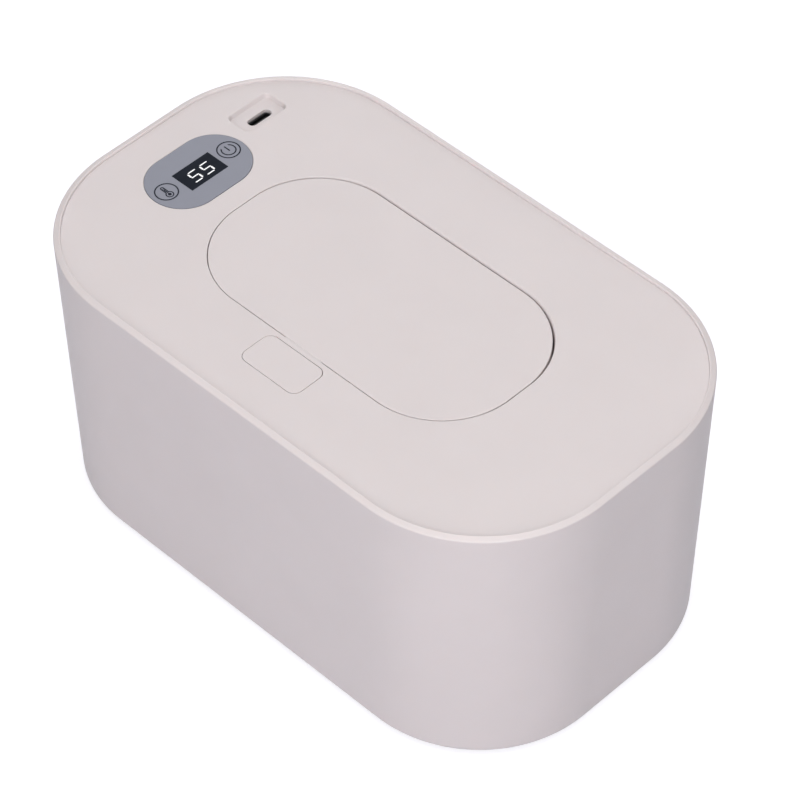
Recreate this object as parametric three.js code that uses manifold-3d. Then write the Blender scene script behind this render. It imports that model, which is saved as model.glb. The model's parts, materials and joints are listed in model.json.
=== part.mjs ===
// Baby wipe warmer: an open tub and a lift-off heated lid with a push-button flap.
// Millimetres, +Z up, origin on the table under the middle of the tub.
// +X is the right end, -X the end with the display, -Y the front with the push button.

import * as THREE from 'three';
import { mergeVertices } from 'three/addons/utils/BufferGeometryUtils.js';
import Module from 'manifold-3d';

const wasm = await Module();
wasm.setup();

// Clearance between pieces that touch, and the overruns of joins and cuts
const seatGap = 0.3;
const overrun = 1;
const joinDepth = 0.4;

// Tub
const bodyLength = 215;
const bodyWidth = 129.3;
const bodyCorner = 48.6;
const tubHeight = 102.6;
const tubDraft = 2.8;
const tubWall = 2.8;
const tubFloor = 2.6;
const tubFoot = 3.5;
const tubInnerFillet = 4;
const rimWidth = 2.25;
const rimOuterRound = 1;
const rimFlat = 0.35;
const ledgeWidth = 1.3;

// Rubber feet, let into the bottom of the tub
const footRadius = 6.5;
const footProud = 0.8;
const footSocketDepth = 1;
const footFromEnd = 35.5;
const footFromSide = 28.65;

// Lid cover
const lidSink = 1;
const lidEdgeRound = 0.5;
const lidPlate = 2.4;
const lidSkirtWall = 1.8;
const lidSkirtDepth = 6;

// Flap door and the well that it closes
const doorX = -0.3;
const doorFromEnd = 48.6;
const doorFromSide = 32.6;
const doorEndStraight = 8.4;
const doorPlate = 2;
const doorSkirtWall = 1.6;
const doorSkirtDepth = 4.6;
const doorEdgeRound = 0.5;
const doorGap = 0.45;
const doorBackGap = 0.95;
const wellWall = 1.45;
const wellFloor = 1.8;
const wellEdgeRound = 0.4;
const tongueLength = 15.4;
const tongueDepth = 0.5;
const tongueHeight = 1.2;
const tongueReach = 0.3;
const catchSide = 1.9;
const catchBar = 1.4;
const linerPlate = 1.5;
const linerWall = 1.2;
const linerDrop = 0.8;
const linerGroove = 0.5;

// Gooseneck hinge behind the well
const hingeBehind = 6;
const hingeDrop = 3;
const hingeFromCorner = 6;
const armWidth = 5;
const armThickness = 1.5;
const armFloorGap = 0.6;
const armBoss = 1.6;
const armStemGap = 0.7;
const armSideGap = 0.4;
const armFromDegrees = 165;
const armToDegrees = 286;
const earThickness = 2.4;
const earReach = 2.2;
const pinRadius = 0.9;
const pinProud = 0.6;
const doorSpringRoom = 3.2;
const doorSpringRadius = 1.35;
const doorSpringDrop = 4;
const doorSpringReach = 5;

// Dispensing mouth
const mouthFromDoorEnd = 20.9;
const mouthWidth = 30;
const mouthCollarWall = 3;
const mouthCollarHeight = 2.5;
const gasketFlange = 4;
const gasketFlangeThickness = 1.2;
const gasketLip = 8;
const gasketNeck = 1.5;
const gasketRise = 0.4;
const gasketSkin = 1;
const doorSealWidth = 2;

// Push button
const buttonLength = 24.2;
const buttonWidth = 13.7;
const buttonCorner = 3.15;
const buttonPlate = 1.8;
const buttonWall = 1.4;
const buttonEdgeRound = 0.4;
const buttonFlange = 1.2;
const buttonFlangeThickness = 0.8;
const buttonTravel = 1.5;
const buttonSpringRadius = 1.2;
const lugTip = 2.6;
const lugBite = 1.8;

// Latch slide under the button
const latchHeight = 3.2;
const latchTop = 6;
const latchWindowSide = 1.9;
const latchFrontBar = 2.6;
const latchBackBar = 3.7;
const latchSideGap = 0.4;
const noseLength = 15.4;
const noseHeight = 1.6;
const noseRise = 0.6;
const noseDepth = 1.6;
const guideWall = 1.2;
const guideHeight = 2.4;
const guideOverhang = 0.8;
const guideSpringGap = 0.5;
const latchSpringRadius = 1.15;

// Inner housing under the lid
const housingWall = 1.8;
const housingFloor = 2;
const housingUpstand = 1;
const housingFillet = 2.5;
const sealGrooveHeight = 2.6;
const sealGrooveDepth = 0.7;
const sealBelowLedge = 4;

// Heater under the inner housing
const heaterInset = 15;
const heaterPlate = 1.5;
const heaterRound = 0.8;
const heaterFilm = 0.8;
const heaterFilmInset = 2;
const heaterMouthGrow = 4;
const sensorLength = 7;
const sensorWidth = 4;
const sensorHeight = 2;
const sensorCorner = 1;
const sensorFromEnd = 57.5;
const sensorFromSide = 37.65;
const sensorWindowGap = 1;
const leadFromEnd = 33.5;
const leadSpan = 5;
const leadRadius = 0.8;
const leadWindowLength = 6;
const leadWindowWidth = 11;
const leadBendShare = 0.25;

// Display panel, its overlay and the control board
const panelFromEnd = 26.85;
const panelFromRecess = 4.15;
const panelLength = 25.4;
const panelWidth = 38.5;
const overlayThickness = 0.5;
const overlayProud = 0.2;
const displayFromEnd = 27.4;
const displayLength = 9.9;
const displayWidth = 16;
const boardFromEnd = 29;
const boardFromSide = 26.65;
const boardLength = 27;
const boardCorner = 3;
const boardThickness = 1.6;
const boardBelowLid = 9.8;
const chipPlaceShare = -0.25;
const sensorLeadPlaceShare = 0.17;
const chipLength = 9;
const chipThickness = 1.4;
const touchSpan = 27.1;
const touchRadius = 2.2;

// USB-C inlet
const inletFromEnd = 21.4;
const inletOffCentre = 0.2;
const inletHoleLength = 3.55;
const inletHoleWidth = 9.6;
const inletShellLength = 3.1;
const inletShellWidth = 9;
const inletShellWall = 0.35;
const inletShellFloor = 1;
const inletBelowLid = 3.1;
const recessFromEnd = 20.45;
const recessFromSide = 32.2;
const recessLength = 10.9;
const recessWidth = 18.1;
const recessCorner = 3;
const recessDepth = 1.7;
const recessEdgeRound = 0.7;
const recessPadMargin = 2;
const tongueBoardLength = 0.7;
const tongueBoardWidth = 6.6;

// Screws and their bosses
const screwRadius = 1.3;
const screwHeadRadius = 2.75;
const screwHeadHeight = 1.7;
const screwHeadRound = 0.6;
const bossRadius = 3.1;
const lidScrewFromEnd = 47.5;
const lidScrewFromSide = 24.65;
const lidScrewBite = 7;
const boardScrewBite = 4.5;
const boardScrewInset = 4;

// Wire of the coil springs
const springWire = 0.25;

// A side of an outline shorter than this share of its corner counts as none
const leastStraightShare = 1e-6;

// Counts of facets
const bodyCornerSteps = 10;
const leastCornerSteps = 3;
const arcSteps = 3;
const bendSteps = 12;
const footSteps = 20;
const roundSteps = 12;
const smallRoundSteps = 8;
const coilSteps = 8;
const wireSides = 5;
const doorSpringTurns = 3.75;
const buttonSpringTurns = 6;
const latchSpringTurns = 5;
const touchSpringTurns = 4;

// Sizes worked out from the sizes above
const rimInnerRound = rimWidth - rimOuterRound - rimFlat;
const lidInset = rimWidth + seatGap;
const doorLength = bodyLength - 2 * doorFromEnd;
const doorWidth = bodyWidth - 2 * doorFromSide;
const doorCorner = (doorWidth - doorEndStraight) / 2;
const mouthLength = doorLength - 2 * mouthFromDoorEnd;
const hingeSpan = doorLength - 2 * doorCorner - 2 * hingeFromCorner;
const armOuter = hingeBehind + doorSkirtWall;
const armInner = armOuter - armThickness;
const wellDepth = hingeDrop + armOuter + armFloorGap;
const buttonSpringOuter = buttonSpringRadius + springWire;
const buttonSpringSpan = buttonLength - 2 * (buttonWall + seatGap + buttonSpringOuter);
const latchWidth = buttonSpringSpan - 2 * (buttonSpringOuter + guideSpringGap + guideWall + seatGap);
const latchWindow = lugTip + latchHeight + buttonTravel + 2 * seatGap;
const latchLength = latchFrontBar + latchWindow + latchBackBar;
const lugLength = latchWidth - 2 * (latchWindowSide + latchSideGap);
const catchLength = noseLength + 2 * (latchSideGap + catchSide);
const boardWidth = bodyWidth - 2 * boardFromSide;

// Heights worked out from the sizes above
const tubBottom = footProud;
const rimTop = tubBottom + tubHeight;
const tubFloorTop = tubBottom + tubFloor;
const lidTop = rimTop - lidSink;
const plateUnderside = lidTop - lidPlate;
const skirtBottom = lidTop - lidSkirtDepth;
const ledgeTop = skirtBottom - seatGap;
const wellFloorTop = lidTop - wellDepth;
const wellFloorUnderside = wellFloorTop - wellFloor;
const housingTop = plateUnderside - seatGap;
const housingInset = lidInset + lidSkirtWall + seatGap;
const boardTop = lidTop - boardBelowLid;
const boardUnderside = boardTop - boardThickness;
const collarTop = wellFloorTop + mouthCollarHeight;
const gasketFlangeTop = wellFloorUnderside - seatGap;
const gasketFlangeBottom = gasketFlangeTop - gasketFlangeThickness;
const gasketSeat = gasketFlangeBottom - seatGap;
const housingFloorTop = gasketSeat - housingUpstand;
const housingBottom = housingFloorTop - housingFloor;
const filmTop = housingBottom - seatGap;
const heaterTop = filmTop - heaterFilm - seatGap;
const heaterBottom = heaterTop - heaterPlate;
const doorUnderside = lidTop - doorPlate;
const doorSkirtBottom = lidTop - doorSkirtDepth;
const linerBottom = doorSkirtBottom - linerDrop;
const tubTopInset = rimWidth + ledgeWidth;
const tubBottomInset = tubDraft + tubWall;

// Places worked out from the sizes above
const leftEnd = -bodyLength / 2;
const leadX = leftEnd + leadFromEnd;
const sensorX = leftEnd + sensorFromEnd;
const sensorY = bodyWidth / 2 - sensorFromSide;
const boardX = leftEnd + boardFromEnd;
const displayX = leftEnd + displayFromEnd;
const recessX = leftEnd + recessFromEnd;
const recessY = bodyWidth / 2 - recessFromSide;
const inletX = leftEnd + inletFromEnd;
const inletY = recessY - inletOffCentre;
const panelX = leftEnd + panelFromEnd;
const panelY = recessY - recessWidth / 2 - panelFromRecess - panelWidth / 2;
const doorFront = -doorWidth / 2;
const wellFront = doorFront - doorGap;
const wellBack = doorWidth / 2 + doorBackGap;
const wellOuterFront = wellFront - wellWall;
const hingeY = doorWidth / 2 + hingeBehind;
const hingeZ = lidTop - hingeDrop;
const buttonY = wellOuterFront - seatGap - buttonWidth / 2;
const buttonUnderside = lidTop - buttonPlate;
const buttonSkirtBottom = plateUnderside - seatGap - buttonFlangeThickness;
const latchBodyTop = lidTop - latchTop;
const latchBodyBottom = latchBodyTop - latchHeight;
const latchFront = wellOuterFront - latchSideGap;
const latchBack = latchFront - latchLength;
const latchWindowFront = latchFront - latchFrontBar;
const latchNoseTip = doorFront - seatGap;
const latchNoseTop = latchBodyTop + noseRise;
const latchNoseBottom = latchNoseTop - noseHeight;
const housingFront = -bodyWidth / 2 + housingInset + housingWall;

// Outlines seen from above
const bodyOutline = outline(bodyLength, bodyWidth, bodyCorner);
const doorOutline = outline(doorLength, doorWidth, doorCorner, doorX);
const wellOutline = outline(
  doorLength + 2 * doorGap,
  doorWidth + doorGap + doorBackGap,
  doorCorner + doorGap,
  doorX,
  (doorBackGap - doorGap) / 2,
);
const mouthOutline = outline(mouthLength, mouthWidth, mouthWidth / 2, doorX);
const buttonOutline = outline(buttonLength, buttonWidth, buttonCorner, doorX, buttonY);
const panelOutline = outline(panelLength, panelWidth, panelLength / 2, panelX, panelY);
const boardOutline = outline(boardLength, boardWidth, boardCorner, boardX);
const heaterOutline = grown(bodyOutline, -heaterInset);
const recessOutline = outline(recessLength, recessWidth, recessCorner, recessX, recessY);
const lidRoom = grown(bodyOutline, -housingInset - housingWall - seatGap);
const inletHole = outline(inletHoleLength, inletHoleWidth, inletHoleLength / 2, inletX, inletY);
const inletShell = outline(inletShellLength, inletShellWidth, inletShellLength / 2, inletX, inletY);

// Finishes
const finishes = {
  shell: { color: '#e6dedb', roughness: 0.55, metalness: 0 },
  innerShell: { color: '#dcd6d3', roughness: 0.6, metalness: 0 },
  overlay: { color: '#92969f', roughness: 0.35, metalness: 0 },
  darkPlastic: { color: '#23262b', roughness: 0.4, metalness: 0 },
  silicone: { color: '#d3d7da', roughness: 0.7, metalness: 0 },
  rubber: { color: '#8d9094', roughness: 0.85, metalness: 0 },
  aluminium: { color: '#c3c6c9', roughness: 0.35, metalness: 0.9 },
  film: { color: '#b5652e', roughness: 0.45, metalness: 0 },
  board: { color: '#2c6b45', roughness: 0.5, metalness: 0 },
  steel: { color: '#b9bcc0', roughness: 0.3, metalness: 1 },
  redWire: { color: '#b3262b', roughness: 0.5, metalness: 0 },
  blackWire: { color: '#1d1e20', roughness: 0.5, metalness: 0 },
};

// A rounded rectangle in the plan, with finer facets on a larger corner
function outline(length, width, corner, x = 0, y = 0) {
  const steps = Math.round(bodyCornerSteps * Math.sqrt(corner / bodyCorner));
  return { length, width, corner, x, y, steps: Math.max(leastCornerSteps, steps) };
}

function grown(shape, grow) {
  return {
    ...shape,
    length: shape.length + 2 * grow,
    width: shape.width + 2 * grow,
    corner: shape.corner + grow,
  };
}

function radians(degrees) {
  return THREE.MathUtils.degToRad(degrees);
}

// Closed solid of a geometry, with its shared vertices merged
function solidOf(geometry) {
  const bare = geometry.clone();
  bare.deleteAttribute('normal');
  bare.deleteAttribute('uv');
  const merged = mergeVertices(bare);
  const vertProperties = new Float32Array(merged.attributes.position.array);
  const triVerts = new Uint32Array(merged.index.array);
  return new wasm.Manifold(new wasm.Mesh({ numProp: 3, vertProperties, triVerts }));
}

function geometryOf(solid) {
  const mesh = solid.getMesh();
  const geometry = new THREE.BufferGeometry();
  geometry.setAttribute('position', new THREE.BufferAttribute(mesh.vertProperties, 3));
  geometry.setIndex(new THREE.BufferAttribute(mesh.triVerts, 1));
  geometry.computeVertexNormals();
  return geometry;
}

function joined(first, ...others) {
  return others.reduce((whole, piece) => whole.add(piece), first);
}

function cutBy(first, ...tools) {
  return tools.reduce((whole, tool) => whole.subtract(tool), first);
}

function part(name, solid, finish) {
  const mesh = new THREE.Mesh(geometryOf(solid), new THREE.MeshStandardMaterial(finishes[finish]));
  mesh.name = name;
  return mesh;
}

// One level line of a rounded rectangle, counter-clockwise from its right side
function ringPoints(shape, grow, z) {
  const halfX = shape.length / 2 + grow;
  const halfY = shape.width / 2 + grow;
  const corner = shape.corner + grow;
  const straight = [halfY - corner, halfX - corner, halfY - corner, halfX - corner];
  const signs = [[1, 1], [-1, 1], [-1, -1], [1, -1]];
  const points = [];
  signs.forEach(([signX, signY], quadrant) => {
    const first = straight[quadrant] > corner * leastStraightShare ? 0 : 1;
    for (let step = first; step <= shape.steps; step += 1) {
      const angle = (quadrant + step / shape.steps) * Math.PI / 2;
      points.push([
        shape.x + signX * (halfX - corner) + corner * Math.cos(angle),
        shape.y + signY * (halfY - corner) + corner * Math.sin(angle),
        z,
      ]);
    }
  });
  return points;
}

// Quarter rounds of a profile: pairs of growth and height along an arc
function arc(grow, z, radius, fromDegrees, toDegrees) {
  const points = [];
  for (let step = 0; step <= arcSteps; step += 1) {
    const angle = radians(fromDegrees + (toDegrees - fromDegrees) * step / arcSteps);
    points.push([grow + radius * Math.cos(angle), z + radius * Math.sin(angle)]);
  }
  return points;
}

function bandTriangles(count, lower, upper) {
  const triangles = [];
  for (let index = 0; index < count; index += 1) {
    const next = (index + 1) % count;
    triangles.push(lower + index, lower + next, upper + next);
    triangles.push(lower + index, upper + next, upper + index);
  }
  return triangles;
}

function geometryFrom(points, triangles) {
  const geometry = new THREE.BufferGeometry();
  geometry.setAttribute('position', new THREE.Float32BufferAttribute(points.flat(), 3));
  geometry.setIndex(triangles);
  return geometry;
}

// A profile carried round an outline, from the middle of its underside out and back to the middle
function moulded(shape, profile) {
  const rings = profile.map(([grow, z]) => ringPoints(shape, grow, z));
  const count = rings[0].length;
  const triangles = [];
  for (let ring = 0; ring + 1 < rings.length; ring += 1) {
    triangles.push(...bandTriangles(count, ring * count, (ring + 1) * count));
  }
  const last = (rings.length - 1) * count;
  for (let index = 1; index + 1 < count; index += 1) {
    triangles.push(0, index + 1, index);
    triangles.push(last, last + index, last + index + 1);
  }
  return solidOf(geometryFrom(rings.flat(), triangles));
}

// A closed profile carried round an outline
function hoop(shape, profile) {
  const rings = profile.map(([grow, z]) => ringPoints(shape, grow, z));
  const count = rings[0].length;
  const triangles = [];
  rings.forEach((ring, index) => {
    const next = (index + 1) % rings.length;
    triangles.push(...bandTriangles(count, index * count, next * count));
  });
  return solidOf(geometryFrom(rings.flat(), triangles));
}

function slab(shape, bottom, top) {
  return moulded(shape, [[0, bottom], [0, top]]);
}

function block(fromX, toX, fromY, toY, fromZ, toZ) {
  const box = new THREE.BoxGeometry(toX - fromX, toY - fromY, toZ - fromZ);
  box.translate((fromX + toX) / 2, (fromY + toY) / 2, (fromZ + toZ) / 2);
  return solidOf(box);
}

// A block given by its middle along X and its half length there
function centredBlock(x, halfX, fromY, toY, fromZ, toZ) {
  return block(x - halfX, x + halfX, fromY, toY, fromZ, toZ);
}

function uprightRod(radius, x, y, bottom, top, steps = smallRoundSteps) {
  const rod = new THREE.CylinderGeometry(radius, radius, top - bottom, steps);
  rod.rotateX(Math.PI / 2);
  rod.translate(x, y, (bottom + top) / 2);
  return solidOf(rod);
}

function crossRod(radius, fromX, toX, y, z, steps = smallRoundSteps) {
  const rod = new THREE.CylinderGeometry(radius, radius, toX - fromX, steps);
  rod.rotateZ(Math.PI / 2);
  rod.translate((fromX + toX) / 2, y, z);
  return solidOf(rod);
}

// A side view in Y and Z, drawn as pairs, thickened along X
function sideProfile(points, fromX, toX) {
  const shape = new THREE.Shape(points.map(([y, z]) => new THREE.Vector2(y, z)));
  const plate = new THREE.ExtrudeGeometry(shape, { depth: toX - fromX, bevelEnabled: false });
  plate.applyMatrix4(new THREE.Matrix4().set(0, 0, 1, fromX, 1, 0, 0, 0, 0, 1, 0, 0, 0, 0, 0, 1));
  return solidOf(plate);
}

function wireAlong(points, radius) {
  const path = new THREE.CatmullRomCurve3(points.map(([x, y, z]) => new THREE.Vector3(x, y, z)));
  const section = new THREE.Shape();
  for (let side = 0; side < wireSides; side += 1) {
    const angle = side / wireSides * 2 * Math.PI;
    const corner = [radius * Math.cos(angle), radius * Math.sin(angle)];
    if (side === 0) {
      section.moveTo(...corner);
    } else {
      section.lineTo(...corner);
    }
  }
  const steps = points.length - 1;
  return solidOf(new THREE.ExtrudeGeometry(section, { steps, extrudePath: path, bevelEnabled: false }));
}

// Points of a coil along one axis: 'x', 'y' or 'z', starting at its low end
function coilPoints(axis, centre, radius, length, turns) {
  const points = [];
  const count = turns * coilSteps;
  for (let step = 0; step <= count; step += 1) {
    const angle = step / coilSteps * 2 * Math.PI;
    const across = radius * Math.cos(angle);
    const side = radius * Math.sin(angle);
    const along = length * step / count;
    const offsets = { x: [along, across, side], y: [side, along, across], z: [across, side, along] };
    points.push(centre.map((value, index) => value + offsets[axis][index]));
  }
  return points;
}

// Four places at given distances from the ends and the sides of the body
function fourPlaces(fromEnd, fromSide) {
  const x = bodyLength / 2 - fromEnd;
  const y = bodyWidth / 2 - fromSide;
  return [[x, y], [-x, y], [-x, -y], [x, -y]];
}

const footPlaces = fourPlaces(footFromEnd, footFromSide);
const lidScrewPlaces = fourPlaces(lidScrewFromEnd, lidScrewFromSide);
const boardScrewPlaces = [[1, 1], [-1, -1], [1, -1]].map(([x, y]) => [
  boardX + x * (boardLength / 2 - boardScrewInset),
  y * (boardWidth / 2 - boardScrewInset),
]);
const bothSides = [-1, 1];

// Inset of the tub's inner wall at a height below its ledge
function tubInsetAt(z) {
  const low = tubFloorTop + tubInnerFillet;
  return tubTopInset + (tubBottomInset - tubTopInset) * (ledgeTop - z) / (ledgeTop - low);
}

function outerTub() {
  const tub = moulded(bodyOutline, [
    ...arc(-tubDraft - tubFoot, tubBottom + tubFoot, tubFoot, -90, 0),
    ...arc(-rimOuterRound, rimTop - rimOuterRound, rimOuterRound, 0, 90),
    ...arc(rimInnerRound - rimWidth, rimTop - rimInnerRound, rimInnerRound, 90, 180),
    [-rimWidth, ledgeTop],
    [-tubTopInset, ledgeTop],
    ...arc(-tubBottomInset - tubInnerFillet, tubFloorTop + tubInnerFillet, tubInnerFillet, 0, -90),
  ]);
  const sockets = footPlaces.map(([x, y]) => uprightRod(
    footRadius + seatGap, x, y, tubBottom - overrun, tubBottom + footSocketDepth, footSteps,
  ));
  return part('outer_tub', cutBy(tub, ...sockets), 'shell');
}

function feet() {
  const top = tubBottom + footSocketDepth - seatGap;
  return footPlaces.map(([x, y], index) => part(
    `foot_${index + 1}`, uprightRod(footRadius, x, y, 0, top, footSteps), 'rubber',
  ));
}

// Lid cover: top plate with its skirt, the well for the door and every opening in them
function lidPlateAndWell() {
  const plate = moulded(bodyOutline, [
    [-lidInset - lidSkirtWall, plateUnderside],
    [-lidInset - lidSkirtWall, skirtBottom],
    [-lidInset, skirtBottom],
    ...arc(-lidInset - lidEdgeRound, lidTop - lidEdgeRound, lidEdgeRound, 0, 90),
  ]);
  const bucket = slab(grown(wellOutline, wellWall), wellFloorUnderside, plateUnderside + joinDepth);
  const hollow = moulded(wellOutline, [
    [0, wellFloorTop],
    ...arc(wellEdgeRound, lidTop - wellEdgeRound, wellEdgeRound, 180, 90),
    [wellEdgeRound, lidTop + overrun],
  ]);
  const collar = slab(grown(mouthOutline, mouthCollarWall), wellFloorTop - joinDepth, collarTop);
  const mouth = slab(mouthOutline, wellFloorUnderside - overrun, collarTop + overrun);
  return cutBy(joined(cutBy(joined(plate, bucket), hollow), collar), mouth);
}

function bosses(places, bottom) {
  return places.map(([x, y]) => uprightRod(
    bossRadius, x, y, bottom, plateUnderside + joinDepth, roundSteps,
  ));
}

function pilotHoles(places, bottom, bite) {
  return places.map(([x, y]) => uprightRod(
    screwRadius + seatGap, x, y, bottom - overrun, bottom + bite + seatGap,
  ));
}

// Ends of one hinge along X: side is -1 on the left and 1 on the right
function hingeSpots(side) {
  const x = doorX + side * hingeSpan / 2;
  const along = (offset) => x + side * offset;
  const innerEar = armWidth / 2 + armSideGap;
  const outerEar = innerEar + doorSpringRoom + armSideGap;
  return {
    arm: [x - armWidth / 2, x + armWidth / 2],
    pocket: sorted(along(-innerEar), along(outerEar)),
    innerEar: sorted(along(-innerEar), along(-innerEar - earThickness)),
    outerEar: sorted(along(outerEar), along(outerEar + earThickness)),
    pin: sorted(along(-innerEar - earThickness - pinProud), along(outerEar + earThickness + pinProud)),
    spring: [along(innerEar + springWire), along(outerEar - springWire - armSideGap)],
  };
}

function sorted(first, second) {
  return [Math.min(first, second), Math.max(first, second)];
}

function hingeEars(side) {
  const { outerEar, innerEar } = hingeSpots(side);
  const ears = [outerEar, innerEar].map(([from, to]) => joined(
    block(from, to, hingeY - earReach, hingeY + earReach, hingeZ, plateUnderside + joinDepth),
    crossRod(earReach, from, to, hingeY, hingeZ, roundSteps),
  ));
  return joined(...ears);
}

function hingeCuts(side) {
  const { arm, pocket, pin } = hingeSpots(side);
  const slotBottom = hingeZ - armOuter - seatGap;
  return [
    crossRod(armBoss + seatGap, ...pocket, hingeY, hingeZ, roundSteps),
    crossRod(pinRadius + seatGap, ...pin, hingeY, hingeZ),
    block(
      arm[0] - armSideGap, arm[1] + armSideGap,
      wellBack - wellEdgeRound, wellBack + wellWall + overrun, slotBottom, plateUnderside,
    ),
  ];
}

// Rounded recess of the inlet, its slot and the thicker pad under it
function inletPad() {
  const bottom = lidTop - inletBelowLid;
  const pad = slab(grown(recessOutline, recessPadMargin), bottom, plateUnderside + joinDepth);
  return pad.intersect(slab(lidRoom, bottom - overrun, plateUnderside + overrun));
}

function inletCuts() {
  const recess = moulded(recessOutline, [
    [0, lidTop - recessDepth],
    ...arc(recessEdgeRound, lidTop - recessEdgeRound, recessEdgeRound, 180, 90),
    [recessEdgeRound, lidTop + overrun],
  ]);
  return [recess, slab(inletHole, lidTop - inletBelowLid - overrun, lidTop)];
}

function panelCuts() {
  const pocketFloor = lidTop + overlayProud - overlayThickness - seatGap;
  const window = grown(displayOutline(), seatGap);
  return [
    slab(grown(panelOutline, seatGap), pocketFloor, lidTop + overrun),
    slab(window, plateUnderside - overrun, lidTop),
  ];
}

function buttonCuts() {
  const noseHalf = noseLength / 2 + latchSideGap;
  return [
    slab(grown(buttonOutline, seatGap), plateUnderside - overrun, lidTop + overrun),
    centredBlock(
      doorX, noseHalf, wellOuterFront - overrun, wellFront + overrun,
      latchNoseBottom - latchSideGap, latchNoseTop + latchSideGap,
    ),
  ];
}

function lidCover() {
  const lidBossBottom = housingFloorTop + seatGap;
  const boardBossBottom = boardTop + seatGap;
  const cover = joined(
    lidPlateAndWell(),
    inletPad(),
    ...bosses(lidScrewPlaces, lidBossBottom),
    ...bosses(boardScrewPlaces, boardBossBottom),
    ...bothSides.map(hingeEars),
  );
  return part('lid_cover', cutBy(
    cover,
    ...pilotHoles(lidScrewPlaces, lidBossBottom, lidScrewBite),
    ...pilotHoles(boardScrewPlaces, boardBossBottom, boardScrewBite),
    ...bothSides.flatMap(hingeCuts),
    ...inletCuts(),
    ...panelCuts(),
    ...buttonCuts(),
  ), 'shell');
}

// Door: plate with its skirt, seam tongue, catch tab and the two gooseneck arms
function gooseneckArm(side) {
  const [from, to] = hingeSpots(side).arm;
  const bend = [];
  for (let step = 0; step <= bendSteps; step += 1) {
    bend.push(radians(armFromDegrees + (armToDegrees - armFromDegrees) * step / bendSteps));
  }
  const onArc = (radius) => (angle) => [
    hingeY + radius * Math.cos(angle),
    hingeZ + radius * Math.sin(angle),
  ];
  const band = [...bend.map(onArc(armOuter)), ...bend.reverse().map(onArc(armInner))];
  const stemBottom = hingeZ - armInner - joinDepth;
  const stemY = hingeY + armStemGap;
  return joined(
    sideProfile(band, from, to),
    block(from, to, stemY, stemY + armThickness, stemBottom, hingeZ),
    crossRod(armBoss, from, to, hingeY, hingeZ, roundSteps),
  );
}

function doorCover() {
  const shell = moulded(doorOutline, [
    [-doorSkirtWall, doorUnderside],
    [-doorSkirtWall, doorSkirtBottom],
    [0, doorSkirtBottom],
    ...arc(-doorEdgeRound, lidTop - doorEdgeRound, doorEdgeRound, 0, 90),
  ]);
  const tongueTop = lidTop - tongueDepth;
  const tongue = centredBlock(
    doorX, tongueLength / 2, doorFront - tongueReach, doorFront + joinDepth,
    tongueTop - tongueHeight, tongueTop,
  );
  const tab = centredBlock(
    doorX, catchLength / 2, doorFront, doorFront + doorSkirtWall,
    latchNoseBottom - latchSideGap - catchBar, doorSkirtBottom + joinDepth,
  );
  const window = centredBlock(
    doorX, noseLength / 2 + latchSideGap, doorFront - overrun, doorFront + doorSkirtWall + overrun,
    latchNoseBottom - latchSideGap, latchNoseTop + latchSideGap,
  );
  const bores = bothSides.map((side) => {
    const [from, to] = hingeSpots(side).arm;
    return crossRod(pinRadius + seatGap, from - overrun, to + overrun, hingeY, hingeZ);
  });
  const arms = bothSides.map(gooseneckArm);
  return part('door_cover', cutBy(joined(shell, tongue, tab, ...arms), window, ...bores), 'shell');
}

function doorLiner() {
  const inset = doorSkirtWall + seatGap;
  const tray = moulded(doorOutline, [
    [-inset, linerBottom],
    [-inset, doorUnderside - seatGap],
    [-inset - linerWall, doorUnderside - seatGap],
    [-inset - linerWall, linerBottom + linerPlate],
  ]);
  const groove = hoop(mouthOutline, [
    [doorSealOuter() + seatGap, linerBottom - overrun],
    [doorSealOuter() + seatGap, linerBottom + linerGroove],
    [doorSealOuter() - doorSealWidth - seatGap, linerBottom + linerGroove],
    [doorSealOuter() - doorSealWidth - seatGap, linerBottom - overrun],
  ]);
  return part('door_liner', cutBy(tray, groove), 'innerShell');
}

// Growth of the door seal's outer side over the mouth, in the middle of the collar's top
function doorSealOuter() {
  return (mouthCollarWall + doorSealWidth) / 2;
}

function doorSeal() {
  const outer = doorSealOuter();
  const top = linerBottom + linerGroove - seatGap;
  const bottom = collarTop + seatGap;
  const half = doorSealWidth / 2;
  const bead = arc(outer - half, bottom + half, half, -180, 0);
  const ring = hoop(mouthOutline, [...bead, [outer, top], [outer - doorSealWidth, top]]);
  return part('door_seal', ring, 'silicone');
}

function hingePins() {
  return bothSides.map((side, index) => part(
    `hinge_pin_${index + 1}`,
    crossRod(pinRadius, ...hingeSpots(side).pin, hingeY, hingeZ),
    'steel',
  ));
}

// Torsion spring on a hinge pin: one leg hooked behind the arm's stem, one back under the lid plate
function doorSprings() {
  const stemBack = hingeY + armStemGap + armThickness + seatGap + springWire;
  const plateLeg = plateUnderside - seatGap - springWire;
  return bothSides.map((side, index) => {
    const { arm, spring: [from, to] } = hingeSpots(side);
    const stemX = (arm[0] + arm[1]) / 2;
    const hook = [
      [stemX, stemBack, hingeZ - doorSpringDrop],
      [from, stemBack, hingeZ - doorSpringDrop],
    ];
    const coil = coilPoints('x', [from, hingeY, hingeZ], doorSpringRadius, to - from, doorSpringTurns);
    const foot = [to, hingeY + doorSpringReach, plateLeg];
    return part(`door_spring_${index + 1}`, wireAlong([...hook, ...coil, foot], springWire), 'steel');
  });
}

// Silicone mouth with its flange under the well floor and a thin lip round the slot
function mouthGasket() {
  const neck = -seatGap;
  const top = wellFloorTop + gasketRise;
  const lipTop = wellFloorTop;
  return part('mouth_gasket', hoop(mouthOutline, [
    [gasketFlange, gasketFlangeBottom],
    [gasketFlange, gasketFlangeTop],
    [neck, gasketFlangeTop],
    [neck, top],
    [neck - gasketNeck, top],
    [-gasketLip, lipTop],
    [-gasketLip, lipTop - gasketSkin],
    [neck - gasketNeck, lipTop - gasketSkin],
    [neck - gasketNeck, gasketFlangeBottom],
  ]), 'silicone');
}

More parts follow.
